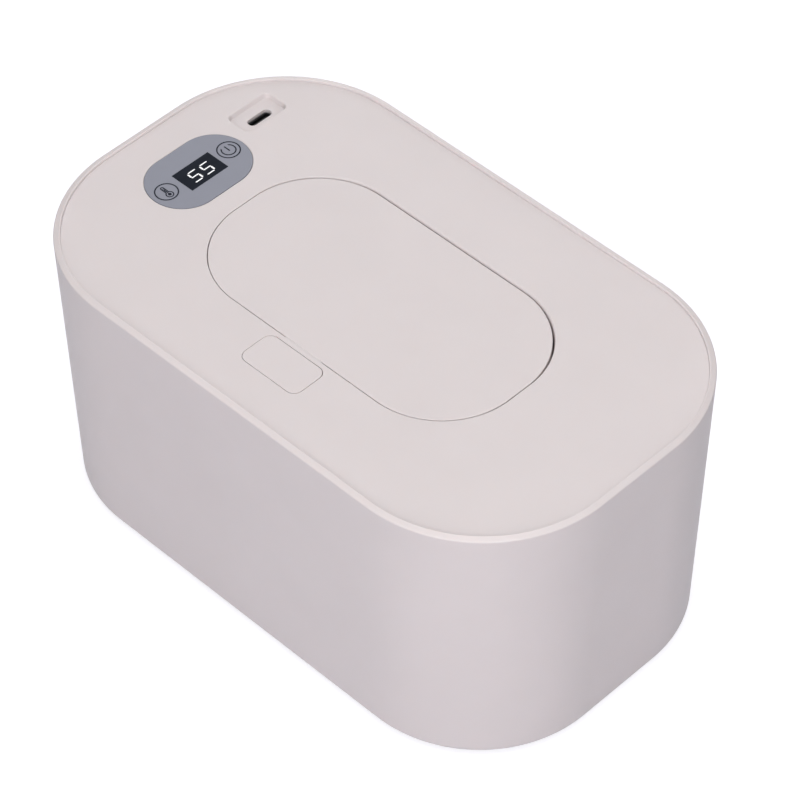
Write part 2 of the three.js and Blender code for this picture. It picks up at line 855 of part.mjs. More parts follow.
function pushButton() {
  const cap = moulded(buttonOutline, [
    [-buttonWall, buttonUnderside],
    [-buttonWall, buttonSkirtBottom],
    [0, buttonSkirtBottom],
    ...arc(-buttonEdgeRound, lidTop - buttonEdgeRound, buttonEdgeRound, 0, 90),
  ]);
  const flangeOutline = outline(
    buttonLength + 2 * buttonFlange, buttonWidth + buttonFlange, buttonCorner, doorX,
    buttonY - buttonFlange / 2,
  );
  const flangeTop = buttonSkirtBottom + buttonFlangeThickness;
  const flange = cutBy(
    slab(flangeOutline, buttonSkirtBottom, flangeTop),
    slab(grown(buttonOutline, -buttonWall), buttonSkirtBottom - overrun, flangeTop + overrun),
  );
  const lugBottom = latchBodyTop - lugBite;
  const lugFace = rampSum() + seatGap * Math.SQRT2;
  const lugTop = buttonUnderside + joinDepth;
  const lugFront = lugFace - lugBottom + lugTip;
  const lugBack = lugFace - buttonSkirtBottom;
  const lug = sideProfile([
    [lugFace - lugBottom, lugBottom],
    [lugFront, lugBottom],
    [lugFront, lugTop],
    [lugBack, lugTop],
    [lugBack, buttonSkirtBottom],
  ], doorX - lugLength / 2, doorX + lugLength / 2);
  return part('push_button', joined(cap, flange, lug), 'shell');
}

// The latch ramp is the plane on which Y and Z add up to this value
function rampSum() {
  return latchWindowFront - latchWindow + latchBodyTop;
}

function latchSlide() {
  const half = latchWidth / 2;
  const body = centredBlock(doorX, half, latchBack, latchFront, latchBodyBottom, latchBodyTop);
  const low = latchBodyBottom - overrun;
  const high = latchBodyTop + overrun;
  const windowHalf = half - latchWindowSide;
  const window = sideProfile([
    [rampSum() - low, low],
    [latchWindowFront, low],
    [latchWindowFront, high],
    [rampSum() - high, high],
  ], doorX - windowHalf, doorX + windowHalf);
  const nose = centredBlock(
    doorX, noseLength / 2, latchFront - noseDepth, latchNoseTip, latchNoseBottom, latchNoseTop,
  );
  return part('latch_slide', joined(cutBy(body, window), nose), 'innerShell');
}

// Spring between the front wall of the inner housing and the back of the slide
function latchSpring() {
  const start = housingFront + seatGap + springWire;
  const length = latchBack - seatGap - springWire - start;
  const middle = (latchBodyTop + latchBodyBottom) / 2;
  const coil = coilPoints('y', [doorX, start, middle], latchSpringRadius, length, latchSpringTurns);
  return part('latch_spring', wireAlong(coil, springWire), 'steel');
}

function buttonSprings() {
  const bottom = housingFloorTop + seatGap + springWire;
  const length = buttonUnderside - seatGap - springWire - bottom;
  return bothSides.map((side, index) => {
    const centre = [doorX + side * buttonSpringSpan / 2, buttonY, bottom];
    const coil = coilPoints('z', centre, buttonSpringRadius, length, buttonSpringTurns);
    return part(`button_spring_${index + 1}`, wireAlong(coil, springWire), 'steel');
  });
}

// Inner housing: tray that closes the lid from below and carries the latch and the heater
function latchGuide() {
  const half = latchWidth / 2 + seatGap;
  const padTop = latchBodyBottom - seatGap;
  const front = latchFront - noseDepth - buttonTravel - seatGap;
  const back = latchBack - guideOverhang;
  const walls = bothSides.map((side) => {
    const [from, to] = sorted(doorX + side * half, doorX + side * (half + guideWall));
    return block(from, to, back, front, housingBottom + joinDepth, padTop + guideHeight);
  });
  return joined(
    centredBlock(doorX, half + guideWall, back, front, housingBottom + joinDepth, padTop),
    ...walls,
  );
}

function sealGroove() {
  const top = ledgeTop - sealBelowLedge;
  const bottom = top - sealGrooveHeight;
  return hoop(bodyOutline, [
    [-housingInset + overrun, bottom],
    [-housingInset + overrun, top],
    [-housingInset - sealGrooveDepth, top],
    [-housingInset - sealGrooveDepth, bottom],
  ]);
}

function sensorPlaces() {
  return [[sensorX, sensorY], [sensorX, -sensorY]];
}

function housingCuts() {
  const low = housingBottom - overrun;
  const high = housingFloorTop + overrun;
  const mouthCut = slab(grown(mouthOutline, gasketFlange - housingWall), low, gasketFlangeTop);
  const leadCut = block(
    leadX - leadWindowLength / 2, leadX + leadWindowLength / 2,
    -leadWindowWidth / 2, leadWindowWidth / 2, low, high,
  );
  const sensorCuts = sensorPlaces().map(([x, y]) => block(
    x - sensorLength / 2 - sensorWindowGap, x + sensorLength / 2 + sensorWindowGap,
    y - sensorWidth / 2 - sensorWindowGap, y + sensorWidth / 2 + sensorWindowGap, low, high,
  ));
  const screwHoles = lidScrewPlaces.map(([x, y]) => uprightRod(screwRadius + seatGap, x, y, low, high));
  return [mouthCut, leadCut, ...sensorCuts, ...screwHoles, sealGroove()];
}

function lidHousing() {
  const tray = moulded(bodyOutline, [
    ...arc(-housingInset - housingFillet, housingBottom + housingFillet, housingFillet, -90, 0),
    [-housingInset, housingTop],
    [-housingInset - housingWall, housingTop],
    [-housingInset - housingWall, housingFloorTop],
  ]);
  const upstand = slab(grown(mouthOutline, gasketFlange), housingBottom + joinDepth, gasketSeat);
  return part('lid_housing', cutBy(joined(tray, upstand, latchGuide()), ...housingCuts()), 'innerShell');
}

function lidSeal() {
  const top = ledgeTop - sealBelowLedge - seatGap;
  const bottom = top - sealGrooveHeight + 2 * seatGap;
  const outer = -tubInsetAt(top) - seatGap;
  const inner = -housingInset - sealGrooveDepth + seatGap;
  const round = (top - bottom) / 2;
  return part('lid_seal', hoop(bodyOutline, [
    ...arc(outer - round, bottom + round, round, -90, 90),
    [inner, top],
    [inner, bottom],
  ]), 'silicone');
}

function heater() {
  const mouth = grown(mouthOutline, heaterMouthGrow);
  const holes = (grow) => lidScrewPlaces.map(([x, y]) => uprightRod(
    screwRadius + grow, x, y, heaterBottom - overrun, filmTop + overrun,
  ));
  const plate = moulded(heaterOutline, [
    ...arc(-heaterRound, heaterBottom + heaterRound, heaterRound, -90, 0),
    [0, heaterTop],
  ]);
  const film = slab(grown(heaterOutline, -heaterFilmInset), heaterTop + seatGap, filmTop);
  const opening = slab(mouth, heaterBottom - overrun, filmTop + overrun);
  return [
    part('heating_plate', cutBy(plate, opening, ...holes(seatGap)), 'aluminium'),
    part('heating_film', cutBy(film, opening, ...holes(seatGap)), 'film'),
  ];
}

// Temperature sensor and thermal cut-out, on the film in windows of the housing floor
function sensors() {
  const names = ['temperature_sensor', 'thermal_cutout'];
  const bottom = filmTop + seatGap;
  return sensorPlaces().map(([x, y], index) => {
    const shape = outline(sensorLength, sensorWidth, sensorCorner, x, y);
    return part(names[index], slab(shape, bottom, bottom + sensorHeight), 'darkPlastic');
  });
}

// Wires from the heater and its sensor up to the underside of the control board
function leads() {
  const start = filmTop + seatGap;
  const end = boardUnderside - seatGap;
  const rise = (end - start) * leadBendShare;
  const heaterLead = (side) => {
    const y = side * leadSpan / 2;
    const bulge = side * leadRadius;
    return [
      [leadX, y, start],
      [leadX, y, start + rise],
      [leadX - leadRadius, y + bulge, start + 2 * rise],
      [leadX, y, end - rise],
      [leadX, y, end],
    ];
  };
  const sensorLeadZ = (housingFloorTop + wellFloorUnderside) / 2;
  const sensorLead = [
    [sensorX, sensorY, start + sensorHeight + seatGap],
    [sensorX - sensorLength, sensorY, sensorLeadZ],
    [leadX + sensorLength, sensorY - sensorLength, sensorLeadZ],
    [leadX, boardWidth * sensorLeadPlaceShare, end - rise],
    [leadX, boardWidth * sensorLeadPlaceShare, end],
  ];
  return [
    part('heater_lead_1', wireAlong(heaterLead(1), leadRadius), 'redWire'),
    part('heater_lead_2', wireAlong(heaterLead(-1), leadRadius), 'blackWire'),
    part('sensor_lead', wireAlong(sensorLead, leadRadius / 2), 'blackWire'),
  ];
}

function controlBoard() {
  const holes = boardScrewPlaces.map(([x, y]) => uprightRod(
    screwRadius + seatGap, x, y, boardUnderside - overrun, boardTop + overrun,
  ));
  const board = slab(boardOutline, boardUnderside, boardTop);
  const room = slab(lidRoom, boardUnderside - overrun, boardTop + overrun);
  return part('control_board', cutBy(board.intersect(room), ...holes), 'board');
}

function controllerChip() {
  const top = boardUnderside - seatGap;
  const half = chipLength / 2;
  const y = boardWidth * chipPlaceShare;
  return part('controller_chip', block(
    boardX - half, boardX + half, y - half, y + half, top - chipThickness, top,
  ), 'darkPlastic');
}

function displayOutline() {
  return outline(displayLength, displayWidth, seatGap, displayX, panelY);
}

function displayPieces() {
  const overlayTop = lidTop + overlayProud;
  const overlayBottom = overlayTop - overlayThickness;
  const module = slab(displayOutline(), boardTop + seatGap, overlayBottom - seatGap);
  return [
    part('control_overlay', slab(panelOutline, overlayBottom, overlayTop), 'overlay'),
    part('display_module', module, 'darkPlastic'),
  ];
}

// Coils that carry the touch of each key from the overlay down to the board
function touchSprings() {
  const bottom = boardTop + seatGap + springWire;
  const length = plateUnderside - seatGap - springWire - bottom;
  return bothSides.map((side, index) => {
    const centre = [panelX, panelY + side * touchSpan / 2, bottom];
    const coil = coilPoints('z', centre, touchRadius, length, touchSpringTurns);
    return part(`touch_spring_${index + 1}`, wireAlong(coil, springWire), 'steel');
  });
}

function inletPieces() {
  const top = lidTop - inletBelowLid;
  const bottom = boardTop + seatGap;
  const cavity = grown(inletShell, -inletShellWall);
  const shell = cutBy(
    slab(inletShell, bottom, top),
    slab(cavity, bottom + inletShellFloor, top + overrun),
  );
  const halfX = tongueBoardLength / 2;
  const halfY = tongueBoardWidth / 2;
  const tongue = block(
    inletX - halfX, inletX + halfX, inletY - halfY, inletY + halfY,
    bottom + inletShellFloor + seatGap, top - seatGap,
  );
  return [part('usb_socket', shell, 'steel'), part('usb_contact_tongue', tongue, 'darkPlastic')];
}

// Pan-head screw driven upwards, its head under the given height
function screw(name, x, y, seat, tip) {
  const headTop = seat - seatGap;
  const headBottom = headTop - screwHeadHeight;
  const head = moulded(outline(2 * screwHeadRadius, 2 * screwHeadRadius, screwHeadRadius, x, y), [
    ...arc(-screwHeadRound, headBottom + screwHeadRound, screwHeadRound, -90, 0),
    [0, headTop],
  ]);
  return part(name, joined(head, uprightRod(screwRadius, x, y, headTop - joinDepth, tip)), 'steel');
}

function screws() {
  const lidTip = housingFloorTop + lidScrewBite;
  const boardTip = boardTop + boardScrewBite;
  return [
    ...lidScrewPlaces.map(([x, y], index) => screw(`lid_screw_${index + 1}`, x, y, heaterBottom, lidTip)),
    ...boardScrewPlaces.map(([x, y], index) => (
      screw(`board_screw_${index + 1}`, x, y, boardUnderside, boardTip)
    )),
  ];
}

function groupOf(...meshes) {
  const group = new THREE.Group();
  group.add(...meshes.flat());
  return group;
}

const tub = groupOf(outerTub(), feet());
const controls = groupOf(
  displayPieces(), controlBoard(), controllerChip(), touchSprings(), inletPieces(), leads(),
);
const heating = groupOf(heater(), sensors());
const door = groupOf(doorCover(), doorLiner(), doorSeal());
const latch = groupOf(pushButton(), buttonSprings(), latchSlide(), latchSpring());
const hinge = groupOf(hingePins(), doorSprings());
const lid = groupOf(
  lidCover(), lidHousing(), lidSeal(), mouthGasket(), screws(), controls, heating, door, latch, hinge,
);

const warmer = groupOf(tub, lid);

export default warmer;
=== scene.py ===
"""Looks of a baby wipe warmer: tub, lid, flap door, push button and control panel.

Sizes are in millimetres in the classes and become metres when a mesh is made.
+X is the plain end, -Y the side with the push button, +Z up, zero on the table.
"""

from __future__ import annotations

import json
import logging
import math
from contextlib import contextmanager
from dataclasses import dataclass, replace
from enum import Enum
from itertools import pairwise
from typing import Any, Callable, Iterator, Sequence

import bmesh
import bpy
from mathutils import Matrix, Vector


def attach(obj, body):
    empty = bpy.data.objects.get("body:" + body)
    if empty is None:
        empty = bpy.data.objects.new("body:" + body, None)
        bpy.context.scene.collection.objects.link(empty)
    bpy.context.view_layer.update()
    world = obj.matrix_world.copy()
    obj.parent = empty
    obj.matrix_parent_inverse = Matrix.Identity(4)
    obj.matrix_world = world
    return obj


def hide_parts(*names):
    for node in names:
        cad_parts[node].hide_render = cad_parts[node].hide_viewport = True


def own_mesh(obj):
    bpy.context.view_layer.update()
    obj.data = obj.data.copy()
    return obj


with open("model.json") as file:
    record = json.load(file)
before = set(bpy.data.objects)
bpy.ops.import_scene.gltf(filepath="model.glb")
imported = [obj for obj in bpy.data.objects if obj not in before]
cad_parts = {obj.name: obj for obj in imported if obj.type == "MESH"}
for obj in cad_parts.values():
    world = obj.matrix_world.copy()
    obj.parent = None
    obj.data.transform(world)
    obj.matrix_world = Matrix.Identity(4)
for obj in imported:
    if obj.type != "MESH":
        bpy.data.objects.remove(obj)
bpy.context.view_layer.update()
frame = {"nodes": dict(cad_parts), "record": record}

MM = 0.001
# Small step that keeps the faces of joined pieces out of one plane, in millimetres.
HAIR = 0.02
# How deep joined shapes reach into each other, in millimetres.
OVERLAP = 0.4
# How far cutting tools reach past what they cut, in millimetres.
PAST = 1.0
# Heights above a surface between which the tools that sink into it start, in millimetres.
TOOL_FOOT, TOOL_HEAD = 0.2, 0.6
# How exactly a place has to fit where edges are picked by it, in millimetres.
TOLERANCE = 1e-3
# How nearly a face has to look along an axis to count as square to it.
SQUARE = 0.99
# Left and right, as the sign of X.
SIDES = (-1, 1)
Point = tuple[float, float]
Triple = tuple[float, float, float]
Colour = tuple[float, float, float]
Setting = float | Sequence[float] | "Wire"

BLACK: Colour = (0.0, 0.0, 0.0)
WHITE: Colour = (1.0, 1.0, 1.0)

logging.basicConfig(level=logging.INFO, format="%(message)s")
log = logging.getLogger("wipe_warmer")


# Shapes


class Side(Enum):
    """The face of a slab that a profile starts from, as the sign of its normal."""

    TOP = 1
    BOTTOM = -1


class Axis(Enum):
    """Direction of a rod."""

    X = (1.0, 0.0, 0.0)
    Y = (0.0, 1.0, 0.0)
    Z = (0.0, 0.0, 1.0)


@dataclass(frozen=True)
class Outline:
    """A rounded rectangle seen from above."""

    x: float
    y: float
    length: float
    width: float
    corner: float

    @property
    def front(self) -> float:
        """Place of its front along Y."""
        return self.y - self.width / 2

    @property
    def back(self) -> float:
        """Place of its back along Y."""
        return self.y + self.width / 2

    def grown(self, by: float) -> Outline:
        """Returns the outline moved outwards by a distance, or inwards if it is negative."""
        return replace(
            self,
            length=self.length + 2 * by,
            width=self.width + 2 * by,
            corner=max(self.corner + by, 0.0),
        )


def arc(centre: Point, radius: float, start: float, end: float, steps: int) -> list[Point]:
    """Gives points along an arc of a profile.

    Args:
        centre: Inset and height of the arc's centre.
        radius: Radius of the arc.
        start: First angle in degrees, from the direction of growing inset.
        end: Last angle in degrees.
        steps: Number of straight pieces.

    Returns:
        The points, both ends included.
    """
    angles = [math.radians(start + (end - start) * k / steps) for k in range(steps + 1)]
    return [(centre[0] + radius * math.cos(a), centre[1] + radius * math.sin(a)) for a in angles]


def select_only(obj: bpy.types.Object) -> None:
    """Deselects everything and makes one object the selected and active one.

    Args:
        obj: The object.
    """
    bpy.ops.object.select_all(action="DESELECT")
    obj.select_set(True)
    bpy.context.view_layer.objects.active = obj


class Piece:
    """A mesh that is shaped with edit mode's own tools, most of which return the piece."""

    def __init__(self, obj: bpy.types.Object) -> None:
        """Takes over an object that was just added."""
        self.obj = obj

    @classmethod
    def _added(cls, name: str) -> Piece:
        """Names the primitive that was just added and puts its place into its mesh.

        Args:
            name: Name of the piece.

        Returns:
            The new piece.
        """
        obj = bpy.context.object
        obj.name = obj.data.name = name
        bpy.ops.object.transform_apply(location=True, rotation=True, scale=True)
        return cls(obj)

    @classmethod
    def block(cls, name: str, low: Triple, high: Triple, turn: float = 0.0) -> Piece:
        """Adds a block between two corners.

        Args:
            name: Name of the piece.
            low: Its lowest corner.
            high: Its highest corner.
            turn: Turn about the upright line through its middle, in degrees.

        Returns:
            The new piece.
        """
        bpy.ops.object.select_all(action="DESELECT")
        bpy.ops.mesh.primitive_cube_add(
            size=1.0,
            location=[(a + b) / 2 * MM for a, b in zip(low, high)],
            rotation=(0.0, 0.0, math.radians(turn)),
            scale=[(b - a) * MM for a, b in zip(low, high)],
        )
        return cls._added(name)

    @classmethod
    def centred(cls, name: str, x: float, half: float, y: Point, z: Point) -> Piece:
        """Adds a block that reaches equally far to both sides of a place along X.

        Args:
            name: Name of the piece.
            x: The place.
            half: Half of its size along X.
            y: Its limits along Y.
            z: Its limits along Z.

        Returns:
            The new piece.
        """
        return cls.block(name, (x - half, y[0], z[0]), (x + half, y[1], z[1]))

    @classmethod
    def disc(cls, name: str, middle: Point, radius: float, low: float, high: float,
             sides: int = 96) -> Piece:
        """Adds an upright disc.

        Args:
            name: Name of the piece.
            middle: Its place seen from above.
            radius: Its radius.
            low: Height of its underside.
            high: Height of its top.
            sides: Number of sides round it.

        Returns:
            The new piece.
        """
        bpy.ops.object.select_all(action="DESELECT")
        bpy.ops.mesh.primitive_cylinder_add(
            vertices=sides,
            radius=radius * MM,
            depth=(high - low) * MM,
            location=(middle[0] * MM, middle[1] * MM, (low + high) / 2 * MM),
        )
        return cls._added(name)

    @classmethod
    def rod(cls, name: str, axis: Axis, start: Triple, length: float, radius: float,
            sides: int = 48) -> Piece:
        """Adds a rod along an axis.

        Args:
            name: Name of the piece.
            axis: Direction of the rod.
            start: Middle of its first end.
            length: Its length.
            radius: Its radius.
            sides: Number of sides round it.

        Returns:
            The new piece.
        """
        bpy.ops.object.select_all(action="DESELECT")
        middle = (Vector(start) + Vector(axis.value) * (length / 2)) * MM
        bpy.ops.mesh.primitive_cylinder_add(
            vertices=sides,
            radius=radius * MM,
            depth=length * MM,
            location=middle,
            rotation=Vector(axis.value).to_track_quat("Z", "Y").to_euler(),
        )
        return cls._added(name)

    @classmethod
    def wire(cls, name: str, points: Sequence[Triple], radius: float) -> Piece:
        """Lays a round wire through points and makes it a mesh.

        Args:
            name: Name of the piece.
            points: The points that the wire's middle follows.
            radius: Radius of the wire.

        Returns:
            The new piece.
        """
        line = bpy.data.curves.new(name, "CURVE")
        line.dimensions = "3D"
        line.bevel_depth = radius * MM
        line.bevel_resolution = 3
        line.use_fill_caps = True
        spline = line.splines.new("POLY")
        spline.points.add(len(points) - 1)
        for point, (x, y, z) in zip(spline.points, points):
            point.co = (x * MM, y * MM, z * MM, 1.0)
        obj = bpy.data.objects.new(name, line)
        bpy.context.scene.collection.objects.link(obj)
        select_only(obj)
        bpy.ops.object.convert(target="MESH")
        wire = cls._added(name)
        with wire.editing("VERT"):
            bpy.ops.mesh.select_all(action="SELECT")
            bpy.ops.mesh.remove_doubles(threshold=1e-6)
        return wire

    @classmethod
    def slab(cls, name: str, outline: Outline, low: float, high: float,
             steps: int = 40) -> Piece:
        """Adds a block and rounds its four upright edges into the outline.

        Args:
            name: Name of the piece.
            outline: Its shape seen from above.
            low: Height of its underside.
            high: Height of its top.
            steps: Straight pieces in each rounded corner.

        Returns:
            The new piece.
        """
        half_x, half_y = outline.length / 2, outline.width / 2
        piece = cls.block(
            name,
            (outline.x - half_x, outline.y - half_y, low),
            (outline.x + half_x, outline.y + half_y, high),
        )
        if outline.corner > 0:
            piece.bevel_edges(is_upright, outline.corner, steps)
        return piece

    @contextmanager
    def editing(self, mode: str) -> Iterator[bmesh.types.BMesh]:
        """Opens edit mode with nothing selected.

        Args:
            mode: Kind of element to select: VERT, EDGE or FACE.

        Yields:
            The mesh in edit mode.
        """
        select_only(self.obj)
        bpy.ops.object.mode_set(mode="EDIT")
        bpy.ops.mesh.select_mode(type=mode)
        bpy.ops.mesh.select_all(action="DESELECT")
        yield bmesh.from_edit_mesh(self.obj.data)
        bpy.ops.object.mode_set(mode="OBJECT")

    def pick(self, elements: Any, wanted: Callable[[Any], bool]) -> None:
        """Selects the faces or edges that a test accepts.

        Args:
            elements: Faces or edges of the mesh in edit mode.
            wanted: The test.
        """
        for element in elements:
            element.select_set(wanted(element))
        bmesh.update_edit_mesh(self.obj.data)

    def bevel_edges(self, wanted: Callable[[Any], bool], radius: float, steps: int) -> None:
        """Rounds the edges that a test accepts.

        Args:
            wanted: The test.
            radius: Radius of the rounding.
            steps: Straight pieces across it.
        """
        with self.editing("EDGE") as mesh:
            self.pick(mesh.edges, wanted)
            bpy.ops.mesh.bevel(
                offset=radius * MM, segments=steps, profile=0.5, clamp_overlap=False
            )
            bpy.ops.mesh.select_all(action="SELECT")
            bpy.ops.mesh.remove_doubles(threshold=1e-7)

    def follow(self, side: Side, path: Sequence[Point]) -> Piece:
        """Carries the slab's top or bottom face along a profile with inset and extrude.

        Args:
            side: The face to start from.
            path: Inset and height of each corner of the profile, from the face on.

        Returns:
            The piece itself.
        """
        with self.editing("FACE") as mesh:
            self.pick(mesh.faces, lambda face: face.normal.z * side.value > SQUARE)
            for (inset_a, z_a), (inset_b, z_b) in pairwise(path):
                rise = (z_b - z_a) * MM
                if inset_b - inset_a > 1e-6:
                    bpy.ops.mesh.inset(
                        thickness=(inset_b - inset_a) * MM,
                        depth=rise * side.value,
                        use_even_offset=True,
                    )
                else:
                    bpy.ops.mesh.extrude_region_move(
                        TRANSFORM_OT_translate={"value": (0.0, 0.0, rise)}
                    )
        return self

    def taper(self, path: Sequence[tuple[Outline, float]]) -> Piece:
        """Carries the slab's bottom face down through outlines with extrude, scale and move.

        Args:
            path: Outline and height of each step, the slab's own bottom first.

        Returns:
            The piece itself.
        """
        with self.editing("FACE") as mesh:
            self.pick(mesh.faces, lambda face: face.normal.z < -SQUARE)
            for (now, z_now), (then, z_then) in pairwise(path):
                step = ((then.x - now.x) * MM, (then.y - now.y) * MM, (z_then - z_now) * MM)
                bpy.ops.mesh.extrude_region_move(TRANSFORM_OT_translate={"value": step})
                bpy.ops.transform.resize(
                    value=(then.length / now.length, then.width / now.width, 1.0),
                    center_override=(then.x * MM, then.y * MM, z_then * MM),
                )
        return self

    def slice_off(self, point: Triple, direction: Triple) -> Piece:
        """Cuts away what lies beyond a plane and closes the cut.

        Args:
            point: A point of the plane.
            direction: Where the plane faces; this side goes.

        Returns:
            The piece itself.
        """
        with self.editing("FACE"):
            bpy.ops.mesh.select_all(action="SELECT")
            bpy.ops.mesh.bisect(
                plane_co=Vector(point) * MM, plane_no=direction, use_fill=True, clear_outer=True
            )
        return self

    def spin_face(self, wanted: Callable[[Any], bool], centre: Triple, angle: float,
                  steps: int) -> Piece:
        """Spins the face that a test accepts about a line along X.

        Args:
            wanted: The test.
            centre: A point of the line.
            angle: Turn in degrees.
            steps: Straight pieces of the bend.

        Returns:
            The piece itself.
        """
        with self.editing("FACE") as mesh:
            self.pick(mesh.faces, wanted)
            bpy.ops.mesh.spin(
                steps=steps, angle=math.radians(angle), center=Vector(centre) * MM,
                axis=(1.0, 0.0, 0.0),
            )
            bpy.ops.mesh.select_all(action="SELECT")
            bpy.ops.mesh.remove_doubles(threshold=1e-7)
            bpy.ops.mesh.normals_make_consistent(inside=False)
        return self

    def modify(self, kind: str, **settings: Any) -> None:
        """Adds a modifier and applies it.

        Args:
            kind: Blender's name of the modifier type.
            settings: Its settings.
        """
        select_only(self.obj)
        modifier = self.obj.modifiers.new(kind.title(), kind)
        for key, value in settings.items():
            setattr(modifier, key, value)
        bpy.ops.object.modifier_apply(modifier=modifier.name)

    def cut(self, *tools: Piece) -> Piece:
        """Takes the shapes of other pieces out of this one and removes them."""
        return self._combine("DIFFERENCE", tools)

    def join(self, *others: Piece) -> Piece:
        """Adds the shapes of other pieces to this one and removes them."""
        return self._combine("UNION", others)

    def keep(self, *others: Piece) -> Piece:
        """Keeps only what this piece shares with the others and removes them."""
        return self._combine("INTERSECT", others)

    def _combine(self, operation: str, others: Sequence[Piece]) -> Piece:
        """Combines this piece with others in turn.

        Args:
            operation: Name of the Boolean operation.
            others: The pieces that are used up.

        Returns:
            The piece itself.
        """
        for other in others:
            self.modify("BOOLEAN", operation=operation, solver="EXACT", object=other.obj)
            bpy.data.objects.remove(other.obj)
        return self

    def copied(self, name: str, shift: Triple) -> Piece:
        """Copies the piece with a mesh of its own.

        Args:
            name: Name of the copy.
            shift: How far the copy is moved.

        Returns:
            The copy.
        """
        select_only(self.obj)
        bpy.ops.object.duplicate(linked=False)
        copy = bpy.context.object
        copy.name = copy.data.name = name
        copy.location = [part * MM for part in shift]
        bpy.ops.object.transform_apply(location=True, rotation=False, scale=False)
        return Piece(copy)

    def at_places(self, name: str, places: Sequence[Point]) -> list[Piece]:
        """Copies the piece from the first of several places to the others.

        Args:
            name: Name of the pieces without their number.
            places: Their places seen from above, its own first.

        Returns:
            The piece itself and its copies.
        """
        first = places[0]
        copies = [
            self.copied(f"{name}_{k}", (x - first[0], y - first[1], 0.0))
            for k, (x, y) in enumerate(places[1:], 2)
        ]
        return [self, *copies]

    def merged(self, *others: Piece) -> Piece:
        """Joins loose pieces into this one without changing their shapes.

        Args:
            others: The pieces that are used up.

        Returns:
            The piece itself.
        """
        select_only(self.obj)
        for other in others:
            other.obj.select_set(True)
        bpy.ops.object.join()
        return self

    def smoothed(self, angle: float = 35.0) -> Piece:
        """Smooths the shading and keeps the flat faces flat.

        Args:
            angle: The angle in degrees below which an edge is smoothed.

        Returns:
            The piece itself.
        """
        select_only(self.obj)
        bpy.ops.object.shade_smooth_by_angle(angle=math.radians(angle))
        self.modify("WEIGHTED_NORMAL", keep_sharp=True, weight=60)
        return self

    def dressed(self, body: str, slot: str, *nodes: str,
                finish: Finish | None = None) -> bpy.types.Object:
        """Gives the finished piece its material and body, and hides the nodes that it stands for.

        Args:
            body: The body that it rides on.
            slot: The record's material slot.
            nodes: Nodes that it replaces.
            finish: Its finish, the slot's own if left out.

        Returns:
            The finished object.
        """
        self.obj.data.materials.clear()
        self.obj.data.materials.append((finish or SLOT_FINISHES[slot]).material())
        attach(self.obj, body)
        if nodes:
            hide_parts(*nodes)
        log.info("%s: %d faces on %s", self.obj.name, len(self.obj.data.polygons), body)
        return self.obj


def is_upright(edge: Any) -> bool:
    """Tells whether an edge stands upright."""
    run = edge.verts[0].co - edge.verts[1].co
    return abs(run.x) + abs(run.y) < 1e-7


# Finishes


class Wire:
    """A node's output socket that takes part in Python arithmetic."""

    def __init__(self, desk: ShaderDesk, socket: bpy.types.NodeSocket) -> None:
        """Wraps one socket of one desk."""
        self.desk = desk
        self.socket = socket

    def _math(self, operation: str, *values: Setting) -> Wire:
        """Adds a Math node on the values."""
        return self.desk.node("ShaderNodeMath", {"operation": operation}, dict(enumerate(values)))

    def __add__(self, other: Setting) -> Wire:
        """Sum."""
        return self._math("ADD", self, other)

    def __radd__(self, other: Setting) -> Wire:
        """Sum, the wire on the right."""
        return self._math("ADD", other, self)

    def __sub__(self, other: Setting) -> Wire:
        """Difference."""
        return self._math("SUBTRACT", self, other)

    def __rsub__(self, other: Setting) -> Wire:
        """Difference, the wire on the right."""
        return self._math("SUBTRACT", other, self)

    def __mul__(self, other: Setting) -> Wire:
        """Product."""
        return self._math("MULTIPLY", self, other)

    def __rmul__(self, other: Setting) -> Wire:
        """Product, the wire on the right."""
        return self._math("MULTIPLY", other, self)


